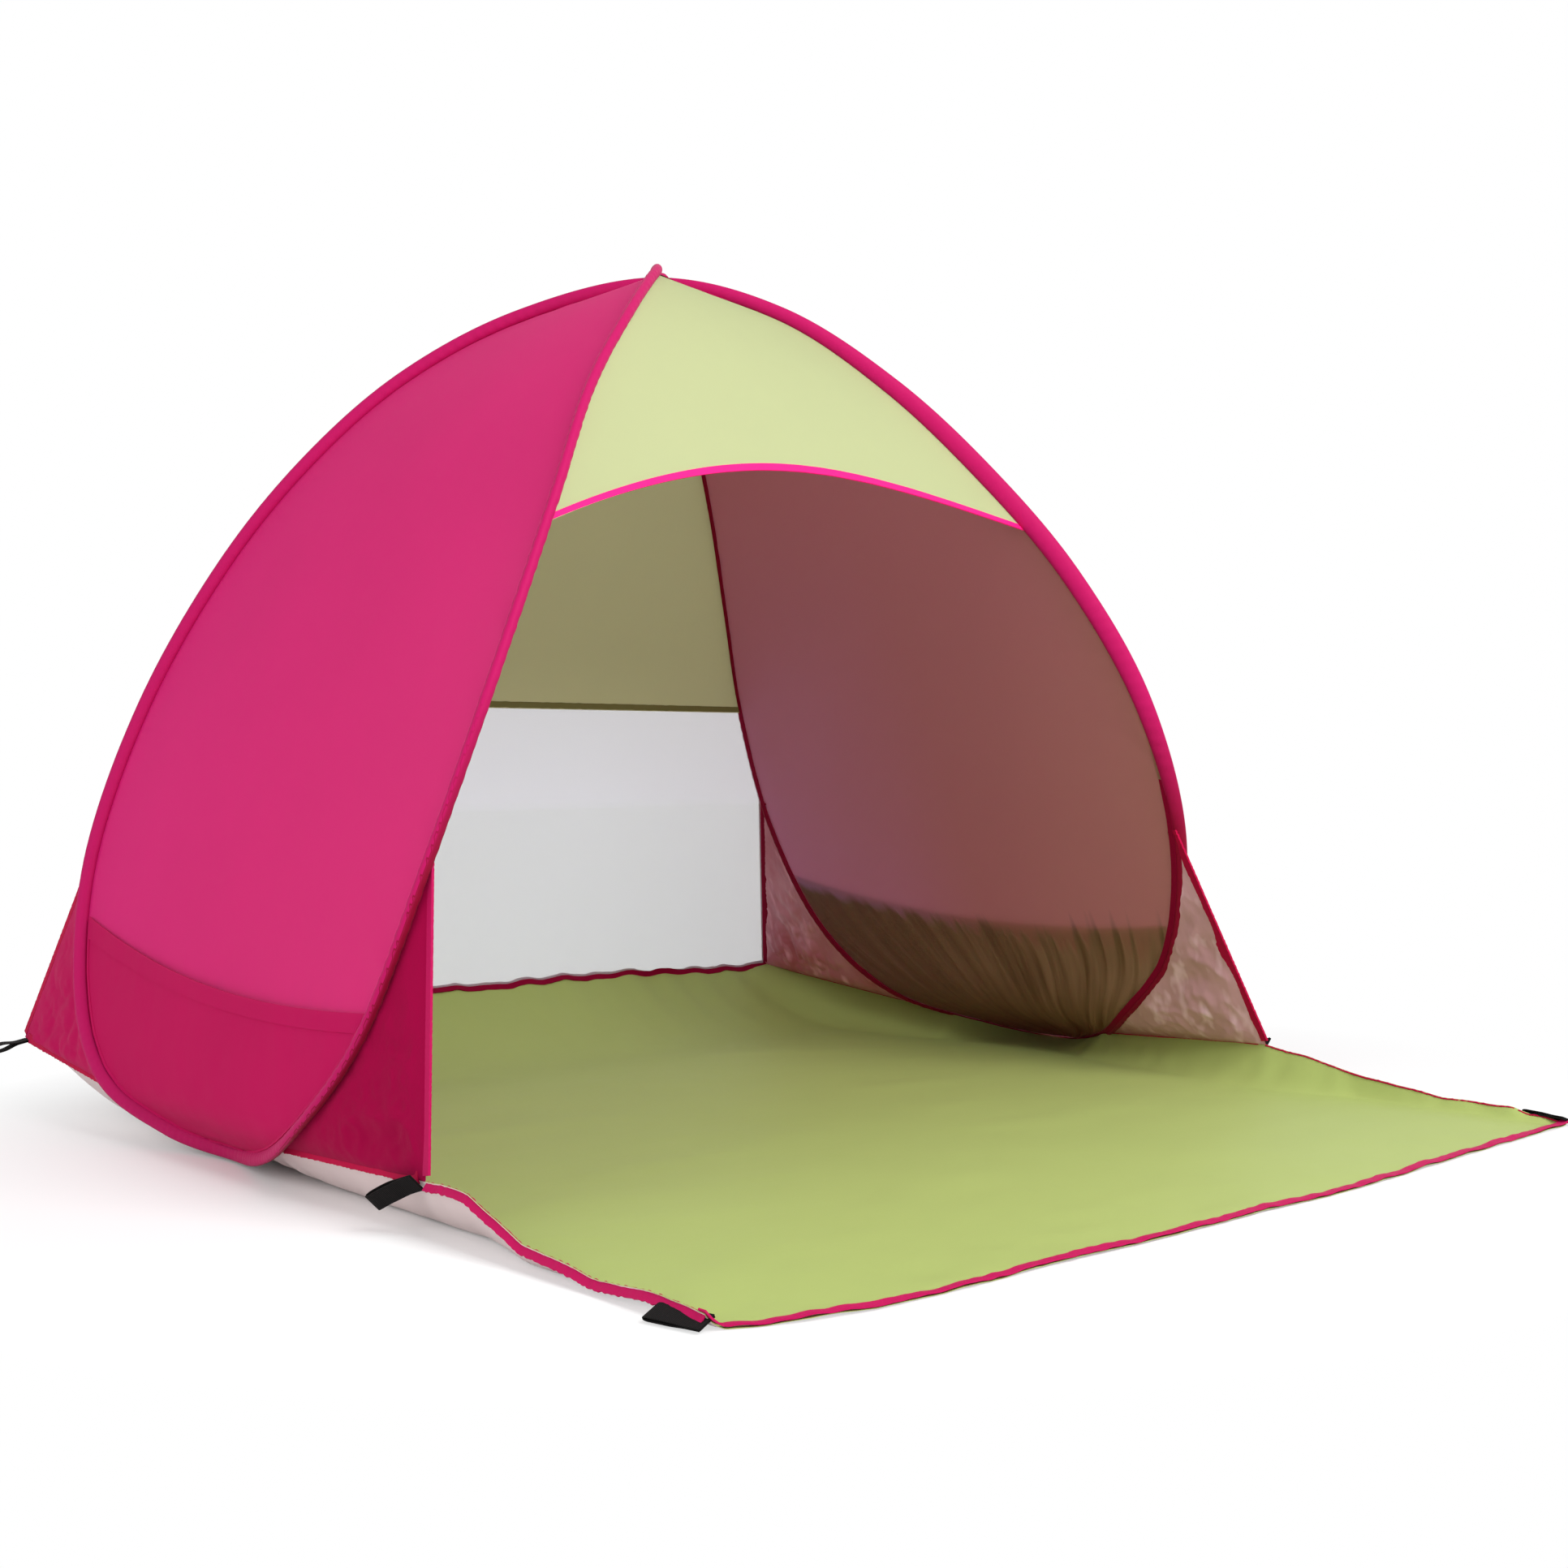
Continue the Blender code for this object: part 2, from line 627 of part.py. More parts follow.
def floor_edge_point(side, end, place):
    """A point on the floor's side edge; place is 0 at the foot, 1 at the gusset, 2 at the corner."""
    share = 1 - (1 - GUSSET_FOOT_SHARE) * min(place, 1.0)
    station = Station(side, end, share)
    inward = Vector((-side, 0.0, 0.0))
    start = station.leave(inward, FLOOR_EDGE_SPARE)
    if place <= 1:
        return start
    tip = corner(side, end) + inward * (TAPE_WIDTH + GAP * 3)
    if end == BACK:
        tip.y -= TAPE_WIDTH + GAP * 2
    return start.lerp(tip, place - 1)


def edge_rise(distance, fall):
    """Share of an edge's height that the cloth still has this far in from the edge."""
    return max(0.0, 1 - distance / fall) ** 2


def floor_base(depth):
    """Height of the floor's middle, which climbs to the taut back edge."""
    climb = max(0.0, (depth - (FLOOR_BACK_DEPTH - BACK_FALL)) / BACK_FALL)
    return CLOTH / 2 + (BACK_EDGE_LIFT - CLOTH / 2) * climb ** 2


def floor_row(left, right):
    """Points across the floor between two edge points, low in the middle and raised at the sides."""
    width = right.x - left.x
    base = floor_base((left.y + right.y) / 2)
    distances = [EDGE_FALL * share for share in EDGE_COLUMN_SHARES]
    distances += [EDGE_FALL + (width / 2 - EDGE_FALL) * share for share in INNER_COLUMN_SHARES]
    halves = []
    for first, last in ((left, right), (right, left)):
        half = []
        for distance in distances:
            point = first.lerp(last, distance / width)
            point.z = base + (first.z - base) * edge_rise(distance, EDGE_FALL)
            half.append(point)
        halves.append(half)
    middle = left.lerp(right, 0.5)
    middle.z = base
    return halves[0] + [middle] + halves[1][::-1]


def ear_width(down):
    """Width of an ear, from the threshold to its tip."""
    return EDGE_FALL + (EAR_TIP_WIDTH - EDGE_FALL) * down


def ear_lift(down):
    """Height of an ear's outer edge above the flat mat."""
    return (FRONT_CORNER_LIFT - CLOTH / 2) * (1 - down) ** 1.7


def ear_row(side, down):
    """Points across an ear, from its raised outer edge in to the flat mat."""
    depth = -FLOOR_FRONT_DEPTH - EAR_LENGTH * down
    row = []
    for share in EDGE_COLUMN_SHARES:
        height = CLOTH / 2 + ear_lift(down) * edge_rise(share, 1.0)
        row.append(Vector((side * (SHEET_HALF_WIDTH - ear_width(down) * share), depth, height)))
    return row


def make_floor(finish, tape_finish):
    """The floor from its raised back edge to the threshold, with an ear at each front corner."""
    places = FLOOR_CORNER_PLACES + [(1 - share) / (1 - GUSSET_FOOT_SHARE)
                                    for share in shares_between(GUSSET_FOOT_SHARE, 1.0)]
    runs = [(BACK, place) for place in places] + [(FRONT, place) for place in places[-2::-1]]
    rows = [floor_row(floor_edge_point(LEFT, end, place), floor_edge_point(RIGHT, end, place))
            for end, place in runs]
    mesh_data = bmesh.new()
    grid = [[mesh_data.verts.new(point) for point in row] for row in rows]
    faces = list(zip(grid[:-1], grid[1:]))
    for side in (LEFT, RIGHT):
        threshold = grid[-1][:len(EDGE_COLUMN_SHARES)]
        if side == RIGHT:
            threshold = grid[-1][-len(EDGE_COLUMN_SHARES):][::-1]
        ear = [threshold]
        for index in range(1, EAR_SPANS + 1):
            ear.append([mesh_data.verts.new(point) for point in ear_row(side, index / EAR_SPANS)])
        faces += list(zip(ear[:-1], ear[1:]))
    for upper, lower in faces:
        for index in range(len(upper) - 1):
            mesh_data.faces.new((upper[index], lower[index], lower[index + 1], upper[index + 1]))
    made = add_object("floor_sheet", mesh_data, finish)
    thicken(made)

    back = Vector((0.0, FLOOR_BACK_DEPTH - TAPE_WIDTH / 2, BACK_EDGE_LIFT))
    reach = Vector((FLOOR_HALF_WIDTH - SEAM_TAPE_WIDTH, 0.0, 0.0))
    tape("floor_back_binding", between(back - reach, back + reach, 12), [Vector((0, 1, 0))] * 13,
         TAPE_WIDTH, TAPE_THICKNESS, tape_finish)
    for side in (LEFT, RIGHT):
        path = []
        for index in range(EAR_SPANS + 1):
            down = index / EAR_SPANS
            depth = -FLOOR_FRONT_DEPTH - EAR_LENGTH * down
            path.append(Vector((side * (FLOOR_HALF_WIDTH - TAPE_WIDTH / 2), depth,
                                TAPE_THICKNESS / 2 + ear_lift(down))))
        path[0].y -= SEAM_TAPE_WIDTH
        tape("ear_binding_" + SIDE_NAMES[side], path, [Vector((1, 0, 0))] * len(path),
             TAPE_WIDTH, TAPE_THICKNESS, tape_finish)


def mat_bow(across):
    """How far the mat's front edge bows out; the left half bows a little more."""
    return MAT_BOW * (1 - across ** 4) * (1 - MAT_BOW_SKEW_SHARE * across)


def mat_half_width(depth):
    """Half width of the mat's cloth: notched beside the ears and full in front of them."""
    if depth > EAR_LENGTH + GAP:
        return SHEET_HALF_WIDTH
    return SHEET_HALF_WIDTH - ear_width(depth / EAR_LENGTH) - GAP * 2


def make_mat(body, finish, tape_finish):
    """The front mat, flat on the ground, with its bindings."""
    reach = MAT_LENGTH - TAPE_WIDTH - GAP * 2
    depths = [GAP * 2, EAR_LENGTH / 3, EAR_LENGTH * 2 / 3, EAR_LENGTH + GAP / 2,
              EAR_LENGTH + GAP * 3, (EAR_LENGTH + reach) / 2, reach]
    columns = 16
    rows = []
    for depth in depths:
        row = []
        for column in range(columns + 1):
            across = 2 * column / columns - 1
            bowed = depth + mat_bow(across) * (depth / reach) ** 2
            row.append(Vector((across * mat_half_width(depth), -FLOOR_FRONT_DEPTH - bowed,
                               CLOTH / 2)))
        rows.append(row)
    cloth_sheet("front_mat", rows, finish, body)

    rise = TAPE_THICKNESS / 2
    front = []
    for column in range(columns + 1):
        across = 2 * column / columns - 1
        depth = FLOOR_FRONT_DEPTH + MAT_LENGTH + mat_bow(across) - TAPE_WIDTH / 2
        front.append(Vector((across * FLOOR_HALF_WIDTH, -depth, rise)))
    tape("mat_front_binding", front, [Vector((0, 1, 0))] * len(front), TAPE_WIDTH,
         TAPE_THICKNESS, tape_finish, body)
    for side in (LEFT, RIGHT):
        x = side * (FLOOR_HALF_WIDTH - TAPE_WIDTH / 2)
        first = Vector((x, -FLOOR_FRONT_DEPTH - EAR_LENGTH - GAP * 2, rise))
        last = Vector((x, TAPE_WIDTH + GAP * 4 - FLOOR_FRONT_DEPTH - MAT_LENGTH, rise))
        tape("mat_side_binding_" + SIDE_NAMES[side], between(first, last, 2),
             [Vector((1, 0, 0))] * 3, TAPE_WIDTH, TAPE_THICKNESS, tape_finish, body)


def make_peg_loop(name, root, direction, across, finish, body=None):
    """A folded webbing loop with an eye for a peg; both its ends are sewn in at the root."""
    along = direction.normalized()
    flat = (across - along * across.dot(along)).normalized()
    up = along.cross(flat).normalized()
    if up.z < 0:
        up = -up
    start = WEBBING_THICKNESS / 2 + GAP / 2
    bend = LOOP_EYE_HALF_HEIGHT + WEBBING_THICKNESS / 2
    profile = [(0.0, start), (LOOP_LENGTH * LOOP_STITCH_SHARE, start),
               (LOOP_LENGTH * LOOP_SPREAD_SHARE, bend)]
    for degrees in (90, 60, 30, 0, -30, -60, -90):
        angle = math.radians(degrees)
        profile.append((LOOP_LENGTH - WEBBING_THICKNESS / 2 - bend + bend * math.cos(angle),
                        bend * math.sin(angle)))
    profile += [(x, -y) for x, y in reversed(profile[:3])]
    path = [root + along * x + up * y for x, y in profile]
    tape(name, path, [flat] * len(path), WEBBING_WIDTH, WEBBING_THICKNESS, finish, body)


def make_peg_loops(finish, mat):
    """The six loops: two on the mat's front corners and four on the tent's floor corners."""
    half = WEBBING_WIDTH / 2
    lift = LOOP_EYE_HALF_HEIGHT + WEBBING_THICKNESS
    beside_mat = FLOOR_HALF_WIDTH + half + GAP
    beside_seam = FLOOR_HALF_WIDTH + TAPE_THICKNESS / 2 + GAP * 2
    for side in (LEFT, RIGHT):
        name = "peg_loop_" + SIDE_NAMES[side] + "_"
        outer = Vector((side * beside_mat, -FLOOR_FRONT_DEPTH - MAT_LENGTH + half / 2, lift))
        make_peg_loop(name + "outer", outer, Vector((0, 1, 0)), Vector((1, 0, 0)), finish, mat)
        drop = LEFT_FRONT_LOOP_DROP if side == LEFT else RIGHT_FRONT_LOOP_DROP
        front = Vector((side * (beside_seam + half + GAP - FRONT_LOOP_TUCK),
                        -FLOOR_FRONT_DEPTH + half / 2, FRONT_CORNER_LIFT - drop))
        out, along, up = FRONT_LOOP_LEAN
        make_peg_loop(name + "front", front, Vector((side * out, along, up)),
                      Vector((1, 0, 0)), finish)
        back = Vector((side * (beside_seam - BACK_LOOP_TUCK),
                       FLOOR_BACK_DEPTH - half - BACK_LOOP_TUCK, BACK_EDGE_LIFT - lift / 2))
        out, along, up = BACK_LOOP_LEAN
        make_peg_loop(name + "back", back, Vector((side * out, along, up)),
                      Vector((0, 1, 0)), finish)


def main():
    """Build every piece of the tent."""
    for old in list(bpy.data.objects):
        bpy.data.objects.remove(old, do_unlink=True)
    pink = material("pink polyester", PINK)
    sleeve_pink = material("sleeve pink", DEEP_PINK)
    binding = material("binding pink", BINDING_PINK)
    lime = material("lime polyester", LIME)
    pale_lime = material("pale lime polyester", PALE_LIME)
    olive = material("olive hem", OLIVE)
    sheer = material("sheer window", MESH_GREY, 0.8)
    webbing = material("black webbing", BLACK, 0.85)
    steel = material("spring steel", STEEL, 0.35, 1.0)
    make_wire(steel)
    make_ferrule(steel)
    for side in (LEFT, RIGHT):
        make_sleeve(side, sleeve_pink)
        make_side_panel(side, pink)
        make_pocket(side, pink, binding)
        for end in (FRONT, BACK):
            make_gusset(side, end, sleeve_pink, binding)
    mat = bpy.data.objects.new("mat hinge", None)
    bpy.context.scene.collection.objects.link(mat)
    mat.location = (0.0, -FLOOR_FRONT_DEPTH - GAP, CLOTH)
    bpy.context.view_layer.update()
    make_floor(lime, binding)
    make_mat(mat, lime, binding)
    make_peg_loops(webbing, mat)
    make_apex_tie(binding)
    make_front_canopy(pale_lime, binding)
    make_back_canopy(lime, olive)
    make_rear_window(sheer)


main()
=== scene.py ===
# %% [markdown]
# A pop-up beach tent is cloth stretched over one spring wire. The wire is bent into a figure of
# eight: it crosses itself at the top, and each of its two loops stands on the ground at one side.
# Every panel is cut to fit between those two loops. So the lesson starts with the two curves, and
# each piece of cloth is then a grid whose points are placed between them.

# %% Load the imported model
import math

import bpy
from mathutils import Matrix, Vector, noise


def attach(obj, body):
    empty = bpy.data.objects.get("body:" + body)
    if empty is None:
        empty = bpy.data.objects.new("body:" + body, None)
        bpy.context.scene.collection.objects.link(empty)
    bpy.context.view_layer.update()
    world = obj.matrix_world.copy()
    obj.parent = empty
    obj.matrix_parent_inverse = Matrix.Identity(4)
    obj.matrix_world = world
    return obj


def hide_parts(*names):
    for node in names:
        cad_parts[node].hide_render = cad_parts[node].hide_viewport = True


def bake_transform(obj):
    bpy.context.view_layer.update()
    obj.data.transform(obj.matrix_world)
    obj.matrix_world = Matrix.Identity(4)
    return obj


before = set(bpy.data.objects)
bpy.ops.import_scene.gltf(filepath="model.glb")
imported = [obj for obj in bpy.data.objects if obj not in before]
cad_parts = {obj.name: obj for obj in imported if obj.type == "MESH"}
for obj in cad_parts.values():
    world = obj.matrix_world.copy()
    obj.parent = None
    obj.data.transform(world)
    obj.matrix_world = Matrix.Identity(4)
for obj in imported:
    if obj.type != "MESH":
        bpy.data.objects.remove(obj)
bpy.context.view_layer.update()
bpy.ops.object.select_all(action="DESELECT")

# %% [markdown]
# The camera stands low and a little to the left of the doorway, about 3.4 m from the tent. Its
# place was found from the outline in the photograph, so the tent's corners fall where they do there.

# %% Camera
IMAGE_SIZE = 1932
FOCAL_PIXELS = 2559
CAMERA_PLACE = Vector((-2.032, -2.770, 0.568))
YAW, PITCH, ROLL = (math.radians(angle) for angle in (39.62, -0.85, -0.90))

ahead = Vector((math.sin(YAW) * math.cos(PITCH), math.cos(YAW) * math.cos(PITCH), math.sin(PITCH)))
level = Vector((math.cos(YAW), -math.sin(YAW), 0.0))
above = level.cross(ahead)
right = level * math.cos(ROLL) + above * math.sin(ROLL)
up = above * math.cos(ROLL) - level * math.sin(ROLL)

bpy.ops.object.camera_add(location=CAMERA_PLACE)
camera = bpy.context.object
camera.rotation_euler = Matrix((right, up, -ahead)).transposed().to_euler()
camera.data.sensor_width = 36.0
camera.data.lens = camera.data.sensor_width * FOCAL_PIXELS / IMAGE_SIZE
bpy.context.scene.camera = camera
print("lens", round(camera.data.lens, 2), "mm")

# %% [markdown]
# The photograph was taken in a white studio. A pale floor and a bright even world do the same job.
# The world is white to the camera and dimmer to the cloth, so the background stays clean while the
# inside of the tent can still fall into shade. Two broad lamps do the rest. One stands at the left
# beside the side panel. The other hangs high in front, so it reaches in through the doorway as far
# as the middle of the groundsheet, and the top shades the back.

# %% Studio
WORLD_LIGHT = 0.50
LAMP_SIZE = 2.6
world = bpy.data.worlds.new("studio")
bpy.context.scene.world = world
world.use_nodes = True
tree = world.node_tree
background = tree.nodes["Background"]
background.inputs["Color"].default_value = (1.0, 1.0, 1.0, 1.0)
background.inputs["Strength"].default_value = WORLD_LIGHT
seen = tree.nodes.new("ShaderNodeBackground")
seen.inputs["Color"].default_value = (1.0, 1.0, 1.0, 1.0)
rays = tree.nodes.new("ShaderNodeLightPath")
white_to = rays.outputs["Is Camera Ray"]
for ray in ("Is Glossy Ray", "Is Transmission Ray"):
    either = tree.nodes.new("ShaderNodeMath")
    either.operation = "MAXIMUM"
    tree.links.new(white_to, either.inputs[0])
    tree.links.new(rays.outputs[ray], either.inputs[1])
    white_to = either.outputs[0]
choose = tree.nodes.new("ShaderNodeMixShader")
tree.links.new(white_to, choose.inputs[0])
tree.links.new(background.outputs[0], choose.inputs[1])
tree.links.new(seen.outputs[0], choose.inputs[2])
tree.links.new(choose.outputs[0], tree.nodes["World Output"].inputs["Surface"])
bpy.context.scene.view_settings.view_transform = "Standard"


def lamp(place, aim, power):
    """A broad soft lamp at a place, turned towards a point."""
    bpy.ops.object.light_add(type="AREA", location=place)
    made = bpy.context.object
    made.rotation_euler = (Vector(aim) - Vector(place)).to_track_quat("-Z", "Y").to_euler()
    made.data.size = LAMP_SIZE
    made.data.energy = power
    return made


side_lamp = lamp((-4.2, -0.4, 2.0), (-0.6, 0.0, 0.5), 52)
front_lamp = lamp((0.1, -3.4, 2.9), (0.0, -0.3, 0.2), 155)

bpy.ops.mesh.primitive_plane_add(size=30, location=(0, 0, -0.0005))
floor = bpy.context.object
floor.name = "studio_floor"
print("lamps", side_lamp.data.energy, front_lamp.data.energy)

# %% [markdown]
# Shader maths reads best as plain formulas. A Signal wraps one output of a node, and adding or
# multiplying it makes the Math node. Every other node comes from the finish's own node method,
# which takes the kind of node, its settings, and a value or a Signal for each socket.

# %% Shader formulas
class Signal:
    """One output of a shader node, which works in formulas like a number."""

    def __init__(self, finish, socket):
        self.finish = finish
        self.socket = socket

    def maths(self, operation, *values):
        return self.finish.node("ShaderNodeMath", {"operation": operation},
                                dict(enumerate(values)))

    def __add__(self, other):
        return self.maths("ADD", self, other)

    def __sub__(self, other):
        return self.maths("SUBTRACT", self, other)

    def __rsub__(self, other):
        return self.maths("SUBTRACT", other, self)

    def __mul__(self, other):
        return self.maths("MULTIPLY", self, other)

    __radd__ = __add__
    __rmul__ = __mul__

    def sine(self):
        return self.maths("SINE", self)

    def clamped(self):
        return self.maths("MINIMUM", self.maths("MAXIMUM", self, 0.0), 1.0)


class Finish:
    """A material whose nodes are made one call at a time."""

    def __init__(self, name, colour, roughness, gloss=0.5):
        self.material = bpy.data.materials.new(name)
        self.material.use_nodes = True
        self.tree = self.material.node_tree
        self.shader = self.tree.nodes["Principled BSDF"]
        self.shader.inputs["Base Color"].default_value = (*colour, 1.0)
        self.shader.inputs["Roughness"].default_value = roughness
        self.shader.inputs["Specular IOR Level"].default_value = gloss

    def node(self, kind, settings, sockets, output=0):
        """Add a node. Sockets maps a socket's name or number to a value or a Signal."""
        made = self.tree.nodes.new(kind)
        for setting, value in settings.items():
            setattr(made, setting, value)
        for socket, value in sockets.items():
            if isinstance(value, Signal):
                self.tree.links.new(value.socket, made.inputs[socket])
            else:
                made.inputs[socket].default_value = value
        return Signal(self, made.outputs[output])

    def attribute(self, name):
        """A number that was stored on the mesh."""
        return self.node("ShaderNodeAttribute", {"attribute_name": name}, {}, "Fac")

    def place(self, x=1.0, y=1.0, z=1.0):
        """The piece's own coordinates in metres, stretched by a factor along each axis."""
        spot = self.node("ShaderNodeTexCoord", {}, {}, "Object")
        return self.node("ShaderNodeMapping", {}, {"Vector": spot, "Scale": (x, y, z)})

    def noise(self, vector, scale, detail=2.0):
        return self.node("ShaderNodeTexNoise", {},
                         {"Vector": vector, "Scale": scale, "Detail": detail})

    def mix(self, factor, first, second):
        """Two colours mixed by a factor. Sockets 6 and 7 are the node's two colours."""
        colours = [value if isinstance(value, Signal) else (*value, 1.0)
                   for value in (first, second)]
        return self.node("ShaderNodeMix", {"data_type": "RGBA"},
                         {0: factor, 6: colours[0], 7: colours[1]}, 2)

    def paint(self, socket, signal):
        self.tree.links.new(signal.socket, self.shader.inputs[socket])

    def bump(self, height, distance, strength=1.0):
        self.paint("Normal", self.node("ShaderNodeBump", {}, {
            "Height": height, "Distance": distance, "Strength": strength}))

    def mix_in(self, factor, second):
        """Mix a second shader into the finish's own, and send both to the surface."""
        first = Signal(self, self.shader.outputs[0])
        both = self.node("ShaderNodeMixShader", {}, {0: factor, 1: first, 2: second})
        self.tree.links.new(both.socket, self.tree.nodes["Material Output"].inputs["Surface"])

    def let_light_through(self, share, colour):
        """Thin cloth glows with part of the light that falls on its other face."""
        self.mix_in(share, self.node("ShaderNodeBsdfTranslucent", {}, {"Color": (*colour, 1.0)}))


def shade(colour, amount):
    """The same hue, lighter or darker."""
    return tuple(min(1.0, channel * amount) for channel in colour)


# %% [markdown]
# The studio floor takes the tent's shadow close by. Further off it fades into plain white, which
# the camera sees as a strength of 1, so no horizon shows behind the tent.

# %% Studio floor
SHADOW_MIDDLE = (0, -0.25, 0)
SHADOW_RADIUS = 1.30
FADE_WIDTH = 0.7
NEAR_WHITE = 0.80

studio = Finish("studio_floor", (0.93, 0.93, 0.93), 0.9)
floor.data.materials.append(studio.material)
spot = studio.node("ShaderNodeTexCoord", {}, {}, "Object")
middle = studio.node("ShaderNodeVectorMath", {"operation": "SUBTRACT"}, {0: spot, 1: SHADOW_MIDDLE})
distance = studio.node("ShaderNodeVectorMath", {"operation": "LENGTH"}, {0: middle}, "Value")
path = [studio.node("ShaderNodeLightPath", {}, {}, output) for output in
        ("Is Camera Ray", "Is Glossy Ray", "Is Transmission Ray")]
seen = (path[0] + path[1] + path[2]).clamped()
far_away = ((distance - SHADOW_RADIUS) * (1 / FADE_WIDTH) + NEAR_WHITE).clamped()
white = studio.node("ShaderNodeEmission", {}, {"Color": (1, 1, 1, 1), "Strength": 1.0})
studio.mix_in(far_away * seen, white)
print("studio floor fades out over", FADE_WIDTH, "m")

# %% [markdown]
# Tent polyester is a fine plain weave. From a few metres the threads can't be told apart, and what
# shows is a slight mottle and shallow creases. The weave follows the cloth through two numbers that
# are stored on each sheet: how far a point is along the cloth's width and its length, in metres.

# %% Cloth finishes
THREAD_SPACING = 0.0011
FULL_TURN = 2 * math.pi


def cloth_finish(name, colour, roughness, creases=0.5, sheen=0.02, mottle=0.05, gloss=0.16):
    """Woven polyester with a mottle, shallow creases and a fine weave."""
    made = Finish(name, colour, roughness, gloss)
    spot = made.place()
    patches = made.noise(spot, 5.0, 3.0)
    made.paint("Base Color", made.mix(patches, shade(colour, 1 - mottle), shade(colour, 1 + mottle)))
    across = made.attribute("metres_across") * (FULL_TURN / THREAD_SPACING)
    down = made.attribute("metres_down") * (FULL_TURN / THREAD_SPACING)
    weave = across.sine() * down.sine()
    folds = made.noise(made.place(1.0, 1.0, 0.55), 26.0, 3.0)
    made.bump(folds * creases + weave * 0.012, 0.004, 0.35)
    made.shader.inputs["Sheen Weight"].default_value = sheen
    return made


PINK = (0.88, 0.010, 0.235)
POCKET_PINK = (0.56, 0.003, 0.105)
SLEEVE_PINK = (0.45, 0.004, 0.100)
SLEEVE_PAINTED_SHADE = (0.24, 0.001, 0.025)
SEAM_RED = (0.24, 0.001, 0.028)
CRIMSON = (0.45, 0.002, 0.050)
GUSSET_PINK = (0.31, 0.0005, 0.045)
BINDING_PINK = (0.95, 0.008, 0.200)
EDGE_PINK = (0.46, 0.003, 0.085)
FRONT_LIME = (0.54, 0.60, 0.335)
BACK_LIME = (0.60, 0.56, 0.31)
FLOOR_LIME = (0.38, 0.460, 0.140)
UNDERSIDE = (0.68, 0.57, 0.56)
OLIVE = (0.20, 0.185, 0.075)
WINDOW_GREY = (0.78, 0.80, 1.00)
WEBBING_BLACK = (0.006, 0.005, 0.005)
THROUGH_SHARE = 0.40

pink = cloth_finish("pink_polyester", PINK, 0.66, gloss=0.10)
pink.let_light_through(THROUGH_SHARE, (0.95, 0.35, 0.50))
pocket_pink = cloth_finish("pocket_polyester", POCKET_PINK, 0.70, creases=0.7, gloss=0.08)
pocket_pink.let_light_through(THROUGH_SHARE / 2, (0.90, 0.35, 0.45))
sleeve_pink = cloth_finish("sleeve_polyester", SLEEVE_PINK, 0.60, creases=1.0, gloss=0.10)
# Past the first quarter of the loop, the sleeve's cabin side is painted darker: painted shade.
round_it, along_it = sleeve_pink.attribute("share_across"), sleeve_pink.attribute("share_down")
faces_cabin = (round_it * 12).clamped() * ((0.5 - round_it) * 12).clamped()
sleeve_pink.paint("Base Color", sleeve_pink.mix(((along_it - 0.25) * 20).clamped() * faces_cabin,
                                                SLEEVE_PINK, SLEEVE_PAINTED_SHADE))
seam_red = cloth_finish("inner_seam_tape", SEAM_RED, 0.75, creases=0.8, gloss=0.04)
# A darker copy of the pink tape, used where a tape is in shade: painted shade.
crimson = cloth_finish("shaded_tape", CRIMSON, 0.70, creases=0.9, gloss=0.08)
gusset_pink = cloth_finish("gusset_polyester", GUSSET_PINK, 0.75, creases=1.0, gloss=0.04)
binding = cloth_finish("binding_tape", BINDING_PINK, 0.60, creases=0.6)
edge_pink = cloth_finish("mat_edge_tape", EDGE_PINK, 0.62, creases=1.0, gloss=0.10)
front_lime = cloth_finish("front_lime_polyester", FRONT_LIME, 0.66, creases=0.3, mottle=0.015)
front_lime.let_light_through(THROUGH_SHARE, (0.90, 0.95, 0.75))
back_lime = cloth_finish("coated_back_lime", BACK_LIME, 0.60, creases=0.6)
back_lime.let_light_through(THROUGH_SHARE, (0.85, 0.82, 0.70))
floor_lime = cloth_finish("groundsheet", FLOOR_LIME, 0.55, creases=0.5, mottle=0.03)
# The underside is the pale cloth made darker and pinker: painted shade under the raised edges.
underside = cloth_finish("groundsheet_underside", UNDERSIDE, 0.5, creases=0.9)
olive = cloth_finish("olive_hem", OLIVE, 0.75, creases=1.0)
print("cloth finishes made")

# %% [markdown]
# The side panels have a silver coating inside, which dulls the pink to brown, and to mauve low down
# at the back. Where the pocket lies behind, two layers stop the light, and that shade is painted
# into the colour: darker and olive, with lighter painted streaks of light along short slanting
# folds. The edge of the painted shade follows the pocket's mouth, a shallow curve. It could be
# painted on an image, but a formula on the panel's own shares stays sharp at any distance and needs
# no unwrapping. The gussets are coated too, and crumpled, and painted highlights on their ridges
# make them shine in patches.

# %% Coated inner faces
SILVER_PINK = (0.33, 0.155, 0.130)
SILVER_MAUVE = (0.50, 0.260, 0.640)
SILVER_BROWN = (0.36, 0.230, 0.130)
SHADE_AT_BACK = (0.150, 0.110, 0.075)
SHADE_AT_FRONT = (0.125, 0.118, 0.045)
PAINTED_FOLD_LIGHT = (0.44, 0.31, 0.20)
SILVER_GLOW = (0.70, 0.55, 0.55)
GUSSET_HEM = (0.38, 0.050, 0.115)
STREAK_SLANT = 0.8


